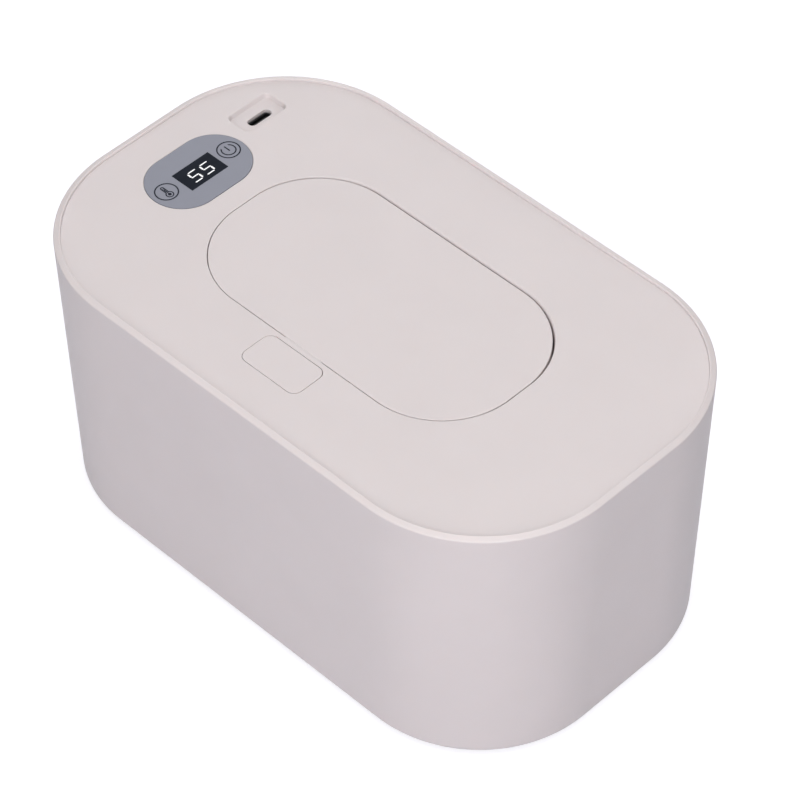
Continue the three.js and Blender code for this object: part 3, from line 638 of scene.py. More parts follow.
class ShaderDesk:
    """The nodes of a material or of the world under construction."""

    def __init__(self, owner: bpy.types.Material | bpy.types.World, output: str) -> None:
        """Starts with nothing but the output.

        Args:
            owner: The material or world.
            output: Blender's name of its output node.
        """
        owner.use_nodes = True
        self.owner = owner
        self.tree = owner.node_tree
        self.tree.nodes.clear()
        self.output = self.tree.nodes.new(output)

    @staticmethod
    def _socket(sockets: Any, key: str | int) -> bpy.types.NodeSocket:
        """Finds a socket of a node.

        Args:
            sockets: The node's inputs or outputs.
            key: The socket's number, identifier or name.

        Returns:
            The socket.
        """
        if isinstance(key, int):
            return sockets[key]
        by_identifier = [socket for socket in sockets if socket.identifier == key]
        return by_identifier[0] if by_identifier else sockets[key]

    def node(self, kind: str, settings: dict[str, Any] | None = None,
             inputs: dict[str | int, Setting] | None = None, out: str | int = 0) -> Wire:
        """Adds a node.

        Args:
            kind: Blender's name of the node type.
            settings: The node's own settings, set first; stops are a ramp's stops.
            inputs: Values or wires of its input sockets.
            out: The output socket that is wanted.

        Returns:
            The wire from that output.
        """
        node = self.tree.nodes.new(kind)
        for key, value in (settings or {}).items():
            if key == "stops":
                self._set_stops(node.color_ramp, value)
            else:
                setattr(node, key, value)
        for key, value in (inputs or {}).items():
            self._plug(self._socket(node.inputs, key), value)
        return Wire(self, self._socket(node.outputs, out))

    @staticmethod
    def _set_stops(ramp: bpy.types.ColorRamp, stops: Sequence[tuple[float, Colour]]) -> None:
        """Gives a colour ramp its stops.

        Args:
            ramp: The ramp.
            stops: Place and colour of each stop.
        """
        while len(ramp.elements) < len(stops):
            ramp.elements.new(1.0)
        for element, (place, colour) in zip(ramp.elements, stops):
            element.position = place
            element.color = (*colour, 1.0)

    def _plug(self, socket: bpy.types.NodeSocket, value: Setting) -> None:
        """Links a wire to a socket or sets the socket's value.

        Args:
            socket: The input socket.
            value: The wire or the value.
        """
        if isinstance(value, Wire):
            self.tree.links.new(value.socket, socket)
        elif hasattr(value, "__len__") and len(value) == 3 and socket.type == "RGBA":
            socket.default_value = (*value, 1.0)
        else:
            socket.default_value = value

    def place(self) -> Wire:
        """Returns the object coordinates."""
        return self.node("ShaderNodeTexCoord", out="Object")

    def stretched(self, scale: Triple) -> Wire:
        """Returns the object coordinates stretched along each axis."""
        return self.node(
            "ShaderNodeMapping", {"vector_type": "POINT"},
            {"Vector": self.place(), "Scale": scale},
        )

    def noise(self, grain: float, detail: float = 3.0, at: Wire | None = None) -> Wire:
        """Adds a noise whose spots have about the size of the grain.

        Args:
            grain: Size of a spot.
            detail: Octaves of finer spots.
            at: Coordinates, the object's own if left out.

        Returns:
            A value about one half.
        """
        return self.node(
            "ShaderNodeTexNoise", {"noise_dimensions": "3D"},
            {"Vector": at or self.place(), "Scale": 1 / (grain * MM), "Detail": detail},
        )

    def mixed(self, share: Setting, first: Setting, second: Setting) -> Wire:
        """Mixes two colours.

        Args:
            share: Share of the second colour.
            first: First colour.
            second: Second colour.

        Returns:
            The mixed colour.
        """
        return self.node(
            "ShaderNodeMix", {"data_type": "RGBA", "blend_type": "MIX"},
            {"Factor_Float": share, "A_Color": first, "B_Color": second},
            "Result_Color",
        )

    def shaded(self, share: Setting, colour: Colour, shades: Point) -> Wire:
        """Mixes two shades of a colour.

        Args:
            share: Share of the second shade.
            colour: The colour.
            shades: How light each shade is, 1 for the colour itself.

        Returns:
            The mixed colour.
        """
        return self.mixed(share, shade(colour, shades[0]), shade(colour, shades[1]))

    def mask(self, value: Wire, stops: Sequence[Point]) -> Wire:
        """Turns a value into a mask with a ramp of greys.

        Args:
            value: The value.
            stops: Place and brightness of each stop.

        Returns:
            The mask.
        """
        greys = [(place, (grey, grey, grey)) for place, grey in stops]
        return self.node("ShaderNodeValToRGB", {"stops": greys}, {"Fac": value})

    def bump(self, height: Wire, depth: float) -> Wire:
        """Turns a height between 0 and 1 into a normal, for a relief of that depth."""
        return self.node(
            "ShaderNodeBump", None,
            {"Height": height, "Strength": 1.0, "Distance": depth * MM},
        )

    def put_out(self, shader: Wire) -> None:
        """Links a shader to the output."""
        self.tree.links.new(shader.socket, self.output.inputs["Surface"])


class MaterialDesk(ShaderDesk):
    """One material under construction."""

    def __init__(self, name: str) -> None:
        """Starts a material of that name."""
        super().__init__(bpy.data.materials.new(name), "ShaderNodeOutputMaterial")

    def surface(self, inputs: dict[str | int, Setting]) -> bpy.types.Material:
        """Adds the shader.

        Args:
            inputs: Values or wires of its input sockets.

        Returns:
            The finished material.
        """
        self.put_out(self.node("ShaderNodeBsdfPrincipled", None, inputs))
        return self.owner


def shade(colour: Colour, share: float) -> Colour:
    """Returns a colour made lighter or darker by a share."""
    return tuple(min(part * share, 1.0) for part in colour)


@dataclass(frozen=True)
class Finish:
    """A finish that is made once and then shared by the pieces that have it."""

    name: str
    colour: Colour

    def material(self) -> bpy.types.Material:
        """Returns the finish's material and makes it the first time."""
        return bpy.data.materials.get(self.name) or self.new_material()

    def new_material(self) -> bpy.types.Material:
        """Makes the material."""
        raise NotImplementedError


@dataclass(frozen=True)
class MouldedPlastic(Finish):
    """Spark-eroded moulded plastic with a fine even grain."""

    cloud: float = 26.0
    unevenness: float = 0.03
    grain: float = 0.32
    relief: float = 0.006
    speckle_share: float = 0.06
    speckle_shade: float = 0.82
    touch: float = 9.0
    roughness: float = 0.46
    touch_dulling: float = 0.1
    grain_dulling: float = 0.08
    specular: float = 0.42
    glow: float = 0.0
    glow_depth: float = 1.2
    glow_radius: Triple = (1.0, 0.8, 0.7)

    def new_material(self) -> bpy.types.Material:
        """Makes the material.

        Returns:
            The finished material.
        """
        desk = MaterialDesk(self.name)
        clouds = desk.noise(self.cloud, 2.0)
        grain = desk.noise(self.grain, 2.0)
        handled = desk.noise(self.touch, 4.0)
        tone = desk.shaded(clouds, self.colour, (1 - self.unevenness, 1 + self.unevenness))
        speckles = grain * self.speckle_share
        smoothest = self.roughness - self.touch_dulling / 2
        dulling = (grain - 0.5) * self.grain_dulling
        return desk.surface({
            "Base Color": desk.mixed(speckles, tone, shade(self.colour, self.speckle_shade)),
            "Roughness": smoothest + handled * self.touch_dulling + dulling,
            "Specular IOR Level": self.specular,
            "Subsurface Weight": self.glow,
            "Subsurface Radius": self.glow_radius,
            "Subsurface Scale": self.glow_depth * MM,
            "Normal": desk.bump(grain, self.relief),
        })


@dataclass(frozen=True)
class PrintedFilm(Finish):
    """Printed film glued on the lid, with a very fine matt tooth."""

    cloud: float = 7.0
    shades: Point = (0.95, 1.05)
    tooth: float = 0.12
    relief: float = 0.003
    fleck_share: float = 0.18
    fleck_shade: float = 1.35
    roughness: float = 0.38
    dulling: float = 0.14
    specular: float = 0.45

    def new_material(self) -> bpy.types.Material:
        """Makes the material.

        Returns:
            The finished material.
        """
        desk = MaterialDesk(self.name)
        tooth = desk.noise(self.tooth, 2.0)
        tone = desk.shaded(desk.noise(self.cloud), self.colour, self.shades)
        flecks = tooth * self.fleck_share
        return desk.surface({
            "Base Color": desk.mixed(flecks, tone, shade(self.colour, self.fleck_shade)),
            "Roughness": self.roughness + tooth * self.dulling,
            "Specular IOR Level": self.specular,
            "Normal": desk.bump(tooth, self.relief),
        })


@dataclass(frozen=True)
class DarkGlass(Finish):
    """Smoked window with a faint haze of wiping."""

    haze: float = 2.5
    stretch: Triple = (1.0, 0.35, 1.0)
    shades: Point = (0.85, 1.2)
    roughness: float = 0.16
    dulling: float = 0.16
    specular: float = 0.05

    def new_material(self) -> bpy.types.Material:
        """Makes the material.

        Returns:
            The finished material.
        """
        desk = MaterialDesk(self.name)
        haze = desk.noise(self.haze, 4.0, desk.stretched(self.stretch))
        return desk.surface({
            "Base Color": desk.shaded(haze, self.colour, self.shades),
            "Roughness": self.roughness + haze * self.dulling,
            "Specular IOR Level": self.specular,
        })


@dataclass(frozen=True)
class PrintedInk(Finish):
    """Dark ink, thinner where the screen's mesh left it so."""

    mesh: float = 0.18
    relief: float = 0.002
    thin_share: float = 0.3
    thin_shade: float = 2.2
    roughness: float = 0.35
    dulling: float = 0.2
    specular: float = 0.15

    def new_material(self) -> bpy.types.Material:
        """Makes the material.

        Returns:
            The finished material.
        """
        desk = MaterialDesk(self.name)
        mesh = desk.noise(self.mesh)
        thin = mesh * self.thin_share
        return desk.surface({
            "Base Color": desk.shaded(thin, self.colour, (1.0, self.thin_shade)),
            "Roughness": self.roughness + mesh * self.dulling,
            "Specular IOR Level": self.specular,
            "Normal": desk.bump(mesh, self.relief),
        })


@dataclass(frozen=True)
class LitSegment(Finish):
    """A lit bar of the display, its brightness a little uneven in small spots."""

    strength: float = 1.0
    cell: float = 0.6
    dim_shade: float = 0.86
    body_darkness: float = 0.9
    roughness: float = 0.3
    dulling: float = 0.2

    def new_material(self) -> bpy.types.Material:
        """Makes the material.

        Returns:
            The finished material.
        """
        desk = MaterialDesk(self.name)
        cell = desk.noise(self.cell, 2.0)
        glow = desk.shaded(cell, self.colour, (self.dim_shade, 1.0))
        return desk.surface({
            "Base Color": desk.mixed(self.body_darkness, glow, BLACK),
            "Roughness": self.roughness + cell * self.dulling,
            "Emission Color": glow,
            "Emission Strength": self.strength,
        })


@dataclass(frozen=True)
class SoftSilicone(Finish):
    """Silicone or rubber with a waxy skin and a little dust."""

    skin: float = 0.5
    relief: float = 0.01
    dust: float = 0.2
    dust_spot: float = 4.0
    dust_colour: Colour = (0.6, 0.58, 0.55)
    roughness: float = 0.6
    dulling: float = 0.15

    def new_material(self) -> bpy.types.Material:
        """Makes the material.

        Returns:
            The finished material.
        """
        desk = MaterialDesk(self.name)
        skin = desk.noise(self.skin)
        dust = desk.noise(self.dust_spot, 5.0)
        return desk.surface({
            "Base Color": desk.mixed(dust * self.dust, self.colour, self.dust_colour),
            "Roughness": self.roughness + skin * self.dulling,
            "Normal": desk.bump(skin, self.relief),
        })


@dataclass(frozen=True)
class RolledMetal(Finish):
    """Sheet or wire drawn in one direction, with fine lines along it."""

    line: float = 0.25
    stretch: Triple = (0.05, 1.0, 1.0)
    shades: Point = (0.86, 1.08)
    relief: float = 0.004
    stain: float = 12.0
    stain_share: float = 0.2
    stain_shade: float = 0.7
    roughness: float = 0.3
    line_dulling: float = 0.12
    stain_dulling: float = 0.08

    def new_material(self) -> bpy.types.Material:
        """Makes the material.

        Returns:
            The finished material.
        """
        desk = MaterialDesk(self.name)
        lines = desk.noise(self.line, 3.0, desk.stretched(self.stretch))
        stains = desk.noise(self.stain, 4.0)
        tone = desk.shaded(lines, self.colour, self.shades)
        stained = desk.mixed(stains * self.stain_share, tone, shade(self.colour, self.stain_shade))
        dulling = lines * self.line_dulling
        return desk.surface({
            "Base Color": stained,
            "Metallic": 1.0,
            "Roughness": self.roughness + dulling + stains * self.stain_dulling,
            "Normal": desk.bump(lines, self.relief),
        })


@dataclass(frozen=True)
class CircuitBoard(Finish):
    """Green solder mask over copper tracks, with gold pads."""

    cell: float = 1.6
    randomness: float = 0.35
    track_stops: tuple[Point, ...] = ((0.42, 0.0), (0.46, 1.0), (0.56, 1.0), (0.6, 0.0))
    pad_stops: tuple[Point, ...] = ((0.1, 1.0), (0.13, 0.0))
    track_share: float = 0.6
    track_shade: float = 2.4
    gold: Colour = (0.75, 0.55, 0.22)
    metal: float = 0.9
    roughness: float = 0.38
    dulling: float = 0.2
    track_height: float = 0.5
    relief: float = 0.03

    def new_material(self) -> bpy.types.Material:
        """Makes the material.

        Returns:
            The finished material.
        """
        desk = MaterialDesk(self.name)
        cells = desk.node(
            "ShaderNodeTexVoronoi",
            {"voronoi_dimensions": "3D", "feature": "F1", "distance": "MANHATTAN"},
            {"Vector": desk.place(), "Scale": 1 / (self.cell * MM), "Randomness": self.randomness},
            "Distance",
        )
        tracks = desk.mask(cells, self.track_stops)
        pads = desk.mask(cells, self.pad_stops)
        masked = desk.shaded(tracks * self.track_share, self.colour, (1.0, self.track_shade))
        return desk.surface({
            "Base Color": desk.mixed(pads, masked, self.gold),
            "Metallic": pads * self.metal,
            "Roughness": self.roughness + cells * self.dulling,
            "Normal": desk.bump(tracks * self.track_height + pads, self.relief),
        })


@dataclass(frozen=True)
class HeatingFilm(Finish):
    """Amber film with the heating track showing through it."""

    pitch: float = 3.2
    band: float = 0.31
    waviness: float = 0.4
    track_stops: tuple[Point, ...] = ((0.52, 0.0), (0.6, 1.0))
    track_shade: float = 0.42
    ripple: float = 3.0
    roughness: float = 0.25
    dulling: float = 0.15
    coat: float = 0.2
    track_height: float = 0.4
    ripple_height: float = 0.3
    relief: float = 0.05

    def new_material(self) -> bpy.types.Material:
        """Makes the material.

        Returns:
            The finished material.
        """
        desk = MaterialDesk(self.name)
        waves = desk.node(
            "ShaderNodeTexWave",
            {"wave_type": "BANDS", "bands_direction": "Y", "wave_profile": "SIN"},
            {"Vector": desk.place(), "Scale": self.band / (self.pitch * MM),
             "Distortion": self.waviness, "Detail": 0.0, "Detail Scale": 1.0},
            "Fac",
        )
        lines = desk.mask(waves, self.track_stops)
        ripple = desk.noise(self.ripple)
        height = lines * self.track_height + ripple * self.ripple_height
        return desk.surface({
            "Base Color": desk.shaded(lines, self.colour, (1.0, self.track_shade)),
            "Roughness": self.roughness + ripple * self.dulling,
            "Coat Weight": self.coat + ripple * self.coat,
            "Normal": desk.bump(height, self.relief),
        })


class Finishes:
    """The finishes of this object."""

    SHELL = MouldedPlastic("warm_white_shell", (0.712, 0.65, 0.652), glow=0.25)
    INNER = MouldedPlastic(
        "inner_white_shell", (0.72, 0.69, 0.67), grain=0.5, relief=0.01, roughness=0.52
    )
    DARK = MouldedPlastic(
        "dark_moulding", (0.02, 0.021, 0.024), grain=0.25, roughness=0.5, unevenness=0.15
    )
    OVERLAY = PrintedFilm("grey_overlay", (0.232, 0.239, 0.288))
    WINDOW = DarkGlass("display_window", (0.010, 0.013, 0.021))
    INK = PrintedInk("navy_ink", (0.006, 0.008, 0.018))
    DIGIT = LitSegment("lit_digit", (0.95, 0.95, 0.97))
    SILICONE = SoftSilicone("clear_silicone", (0.56, 0.55, 0.54), roughness=0.42, dust=0.08)
    RUBBER = SoftSilicone("foot_rubber", (0.42, 0.40, 0.39), roughness=0.62)
    ALUMINIUM = RolledMetal("heating_aluminium", (0.83, 0.84, 0.85))
    STEEL = RolledMetal(
        "spring_steel", (0.62, 0.62, 0.63), stretch=(1.0, 1.0, 0.1), roughness=0.24
    )
    # The inlet's steel shell, coloured near black: painted shade of the deep slot it sits in.
    STEEL_WITH_PAINTED_SHADE = RolledMetal(
        "steel_with_painted_shade", (0.07, 0.07, 0.075), stretch=(1.0, 1.0, 0.2), roughness=0.32
    )
    GOLD = RolledMetal("contact_gold", (0.95, 0.70, 0.30), stretch=(1.0, 1.0, 0.2), roughness=0.2)
    FILM = HeatingFilm("amber_heating_film", (0.55, 0.20, 0.03))
    BOARD = CircuitBoard("green_board", (0.01, 0.10, 0.035))
    RED = SoftSilicone("red_insulation", (0.55, 0.02, 0.015), roughness=0.35, dust=0.05)
    BLACK = SoftSilicone("black_insulation", (0.02, 0.02, 0.022), roughness=0.35, dust=0.05)


SLOT_FINISHES: dict[str, Finish] = {
    "shell": Finishes.SHELL,
    "inner_shell": Finishes.INNER,
    "overlay": Finishes.OVERLAY,
    "dark_plastic": Finishes.DARK,
    "silicone": Finishes.SILICONE,
    "rubber": Finishes.RUBBER,
    "aluminium": Finishes.ALUMINIUM,
    "film": Finishes.FILM,
    "board": Finishes.BOARD,
    "steel": Finishes.STEEL,
    "red_wire": Finishes.RED,
    "black_wire": Finishes.BLACK,
}


# The object

MOUTH = Outline(-0.3, 0.0, 76.0, 30.0, 15.0)


def rounded_edge(edge: float, top: float, steps: int) -> list[Point]:
    """Returns the profile of a rounded top edge, from the side up to the top."""
    return arc((edge, top - edge), edge, 180, 90, steps)


def rounded_foot(edge: float, bottom: float, steps: int) -> list[Point]:
    """Returns the profile of a rounded bottom edge, from the side down to the underside."""
    return [(0.0, bottom + edge), *arc((edge, bottom + edge), edge, 180, 270, steps)]


def hollow(start: float, wall: float, end: float) -> list[Point]:
    """Returns the profile of a hollow inside a wall, from one height to another."""
    return [(0.0, start), (wall, start), (wall, end)]


def edge_reach(edge: float, depth: float) -> float:
    """Finds how far an opening's rounded edge reaches beyond its wall.

    Args:
        edge: Radius of the rounded edge.
        depth: Depth below the surface, negative above it, where the edge flares.

    Returns:
        The reach at that depth.
    """
    flare = 8
    if depth >= edge:
        return 0.0
    if depth < 0.0:
        return edge - depth * flare
    return edge - math.sqrt(edge**2 - (edge - depth) ** 2)


def sunk_edge(name: str, outline: Outline, edge: float, top: float, bottom: float,
              draft: float = 0.0) -> Piece:
    """Makes the tool that cuts an opening with a rounded edge.

    Args:
        name: Name of the tool.
        outline: The opening below its rounded edge.
        edge: Radius of the rounded edge.
        top: Height of the surface that it is cut into.
        bottom: Height that the tool reaches down to.
        draft: How far the walls lean inwards on their way down.

    Returns:
        The tool, flared a little where it leaves the surface.
    """
    flare_share, rise_share, flare_angle = 0.3, 0.16, 72
    flare = edge * flare_share
    tool = Piece.slab(name, outline.grown(edge + flare), top + TOOL_FOOT, top + TOOL_HEAD)
    bow = arc((flare, top - edge), edge, flare_angle, 0, 5)
    return tool.follow(Side.BOTTOM, [
        (0.0, top + TOOL_FOOT), (0.0, top + flare * rise_share), *bow,
        (edge + flare + draft, bottom),
    ])


def is_level_edge(edge: Any, height: float, along: Axis, y: float | None = None) -> bool:
    """Tells whether an edge lies at a height and runs along an axis.

    Args:
        edge: The edge.
        height: The height.
        along: X or Y.
        y: Where an edge along X has to lie, if that matters.

    Returns:
        Whether it is such an edge.
    """
    first, second = (vertex.co / MM for vertex in edge.verts)
    if abs(first.z - height) > TOLERANCE or abs(second.z - height) > TOLERANCE:
        return False
    if along is Axis.Y:
        return abs(first.x - second.x) < TOLERANCE
    return abs(first.y - second.y) < TOLERANCE and (y is None or abs(first.y - y) < TOLERANCE)


def is_flat_rim(edge: Any, height: float) -> bool:
    """Tells whether an edge lies on the rim of a level face at a height."""
    level = [face for face in edge.link_faces if abs(face.normal.z) > SQUARE]
    return len(level) == 1 and all(abs(v.co.z / MM - height) < TOLERANCE for v in edge.verts)


@dataclass(frozen=True)
class Tub:
    """The outer tub with four rubber feet and a rim whose land slopes."""

    outline: Outline = Outline(0.0, 0.0, 215.0, 129.3, 48.6)
    bottom: float = 0.8
    rim_top: float = 103.4
    blank: float = 0.4
    foot_round: float = 3.5
    draft: float = 2.8
    rim_width: float = 2.25
    rim_outer_round: float = 0.6
    rim_inner_round: float = 0.35
    rim_slope: float = 20.0
    ledge: float = 96.1
    ledge_width: float = 1.3
    wall_foot: float = 5.6
    inner_round: float = 4.0
    floor: float = 3.4
    foot_places: tuple[Point, ...] = ((72.0, 36.0), (-72.0, 36.0), (-72.0, -36.0), (72.0, -36.0))
    foot_radius: float = 6.5
    socket_radius: float = 6.8
    socket_top: float = 1.8
    foot_top: float = 1.5
    pad_start: float = 0.4
    pad_round: float = 0.35
    sole: float = 1.2
    dish: Point = (1.5, 0.25)
    dish_end: float = 2.0

    @property
    def widest(self) -> float:
        """Finds where the tub is widest, under the sloping land of the rim.

        Returns:
            The height.
        """
        rise = self.rim_inner_round - self.rim_outer_round
        run = self.rim_width - self.rim_inner_round - self.rim_outer_round
        slope = math.radians(self.rim_slope)
        return self.rim_top - self.rim_inner_round + rise / math.cos(slope) - run * math.tan(slope)

    def outer_profile(self) -> list[Point]:
        """Returns the profile of the outside, from the widest place down and under."""
        bow = arc((self.draft + self.foot_round, self.bottom + self.foot_round), self.foot_round,
                  180, 270, 14)
        return [(0.0, self.widest - self.blank), *bow]

    def inner_profile(self) -> list[Point]:
        """Draws the rim and the inside.

        Returns:
            The profile from the widest place over the rim and down to the floor.
        """
        land = 90 + self.rim_slope
        outer = arc((self.rim_outer_round, self.widest), self.rim_outer_round, 180, land, 8)
        rim = self.rim_width
        middle = (rim - self.rim_inner_round, self.rim_top - self.rim_inner_round)
        inner = arc(middle, self.rim_inner_round, land, 0, 8)
        bowl = arc(
            (self.wall_foot + self.inner_round, self.floor + self.inner_round),
            self.inner_round, 180, 270, 8,
        )
        return [*outer, *inner, (rim, self.ledge), (rim + self.ledge_width, self.ledge), *bowl]

    def build_shell(self) -> None:
        """Builds the tub."""
        start = self.widest - self.blank
        shell = Piece.slab("tub_shell", self.outline, start, self.widest, 48)
        shell.follow(Side.BOTTOM, self.outer_profile())
        shell.follow(Side.TOP, self.inner_profile())
        shell.cut(*[
            Piece.disc("socket", place, self.socket_radius, -PAST, self.socket_top, 64)
            for place in self.foot_places
        ])
        shell.smoothed().dressed("tub", "shell", "outer_tub")

    def build_feet(self) -> None:
        """Builds one foot and copies it to the other places."""
        foot = Piece.disc("foot_pad_1", self.foot_places[0], self.foot_radius, self.pad_start,
                          self.foot_top, 64)
        bow = arc((self.pad_round, self.pad_round), self.pad_round, 180, 270, 5)
        foot.follow(Side.BOTTOM, [
            (0.0, self.pad_start), *bow, (self.sole, 0.0), self.dish,
            (self.dish_end, self.dish[1]),
        ])
        foot.smoothed()
        for k, pad in enumerate(foot.at_places("foot_pad", self.foot_places), 1):
            pad.dressed("tub", "rubber", f"foot_{k}")

    def build(self) -> None:
        """Builds the tub and its feet."""
        self.build_shell()
        self.build_feet()


@dataclass(frozen=True)
class Hinge:
    """Places of the door's hinge behind the well, shared by the door, its pins and springs."""

    y: float = 38.05
    z: float = 99.4
    arm_places: tuple[float, float] = (-25.35, 24.75)
    arm_width: float = 5.0
    arm_outer: float = 7.6
    arm_inner: float = 6.1
    side_gap: float = 0.4
    pin_radius: float = 0.9
    pin_round: float = 0.25
    pin_length: float = 15.4
    pin_reach: float = 0.75
    pin_clearance: float = 0.1
    spring_radius: float = 1.35
    spring_wire: float = 0.25
    spring_turns: float = 3.75
    spring_from: float = 3.15
    spring_to: float = 5.85
    stem_back: float = 40.8
    hook_drop: float = 4.0
    foot_reach: float = 5.0
    foot_height: float = 99.45

    def build_pins(self) -> None:
        """Builds one pin with rounded ends and copies it to the other side."""
        left, right = self.arm_places
        start = left - self.arm_width / 2 - self.side_gap - self.spring_to - self.pin_reach
        pin = Piece.rod("hinge_axle_1", Axis.X, (start, self.y, self.z), self.pin_length,
                        self.pin_radius)
        pin.bevel_edges(is_end_rim, self.pin_round, 4)
        pin.smoothed()
        shift = left + right - 2 * start - self.pin_length
        for k, piece in enumerate((pin, pin.copied("hinge_axle_2", (shift, 0.0, 0.0))), 1):
            piece.dressed("lid", "steel", f"hinge_pin_{k}")

    def build_springs(self) -> None:
        """Builds the two torsion springs round the pins."""
        for k, (x, side) in enumerate(zip(self.arm_places, SIDES), 1):
            coil = Piece.wire(f"door_coil_{k}", self.spring_points(x, side), self.spring_wire)
            coil.smoothed(60).dressed("lid", "steel", f"door_spring_{k}")

    def spring_points(self, x: float, side: int) -> list[Triple]:
        """Draws the line of one torsion spring.

        Args:
            x: Middle of the arm that it presses.
            side: -1 for the left spring and 1 for the right one.

        Returns:
            The points from the hook behind the arm's stem to the foot under the plate.
        """
        first, last = x + side * self.spring_from, x + side * self.spring_to
        hook_z = self.z - self.hook_drop
        coil = coil_points(
            Axis.X, (first, self.y, self.z), self.spring_radius, last - first, self.spring_turns
        )
        foot = (last, self.y + self.foot_reach, self.foot_height)
        return [(x, self.stem_back, hook_z), (first, self.stem_back, hook_z), *coil, foot]


def is_end_rim(edge: Any) -> bool:
    """Tells whether an edge belongs to the rim of a rod's end along X."""
    ends = [face for face in edge.link_faces if abs(face.normal.x) > SQUARE]
    return len(ends) == 1


def coil_points(axis: Axis, start: Triple, radius: float, length: float,
                turns: float) -> list[Triple]:
    """Gives points along a coil.

    Args:
        axis: Direction of the coil.
        start: Middle of the coil's first turn.
        radius: Radius of the wire's middle line.
        length: Length of the coil, negative against the axis.
        turns: Number of turns.

    Returns:
        The points.
    """
    per_turn = 28
    count = round(turns * per_turn)
    points = []
    for k in range(count + 1):
        angle = 2 * math.pi * k / per_turn
        along = length * k / count
        across, rise = radius * math.cos(angle), radius * math.sin(angle)
        offset = {
            Axis.X: (along, across, rise),
            Axis.Y: (rise, along, across),
            Axis.Z: (across, rise, along),
        }[axis]
        points.append(tuple(a + b for a, b in zip(start, offset)))
    return points


@dataclass(frozen=True)
class PressSpring:
    """A coil spring, built at its length at rest, which a moving part presses together in use."""

    joint: str
    axis: Axis
    radius: float
    turns: float
    wire: float = 0.25
    travel: float = 1.5

    def build(self, name: str, node: str, seat: Triple, length: float) -> None:
        """Builds the spring.

        Args:
            name: Name of the piece.
            node: The node that it replaces.
            seat: Middle of the end that stays.
            length: Its length at rest.
        """
        points = coil_points(self.axis, seat, self.radius, length, self.turns)
        spring = Piece.wire(name, points, self.wire).smoothed(60)
        spring.dressed("lid", "steel", node)
        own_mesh(spring.obj)


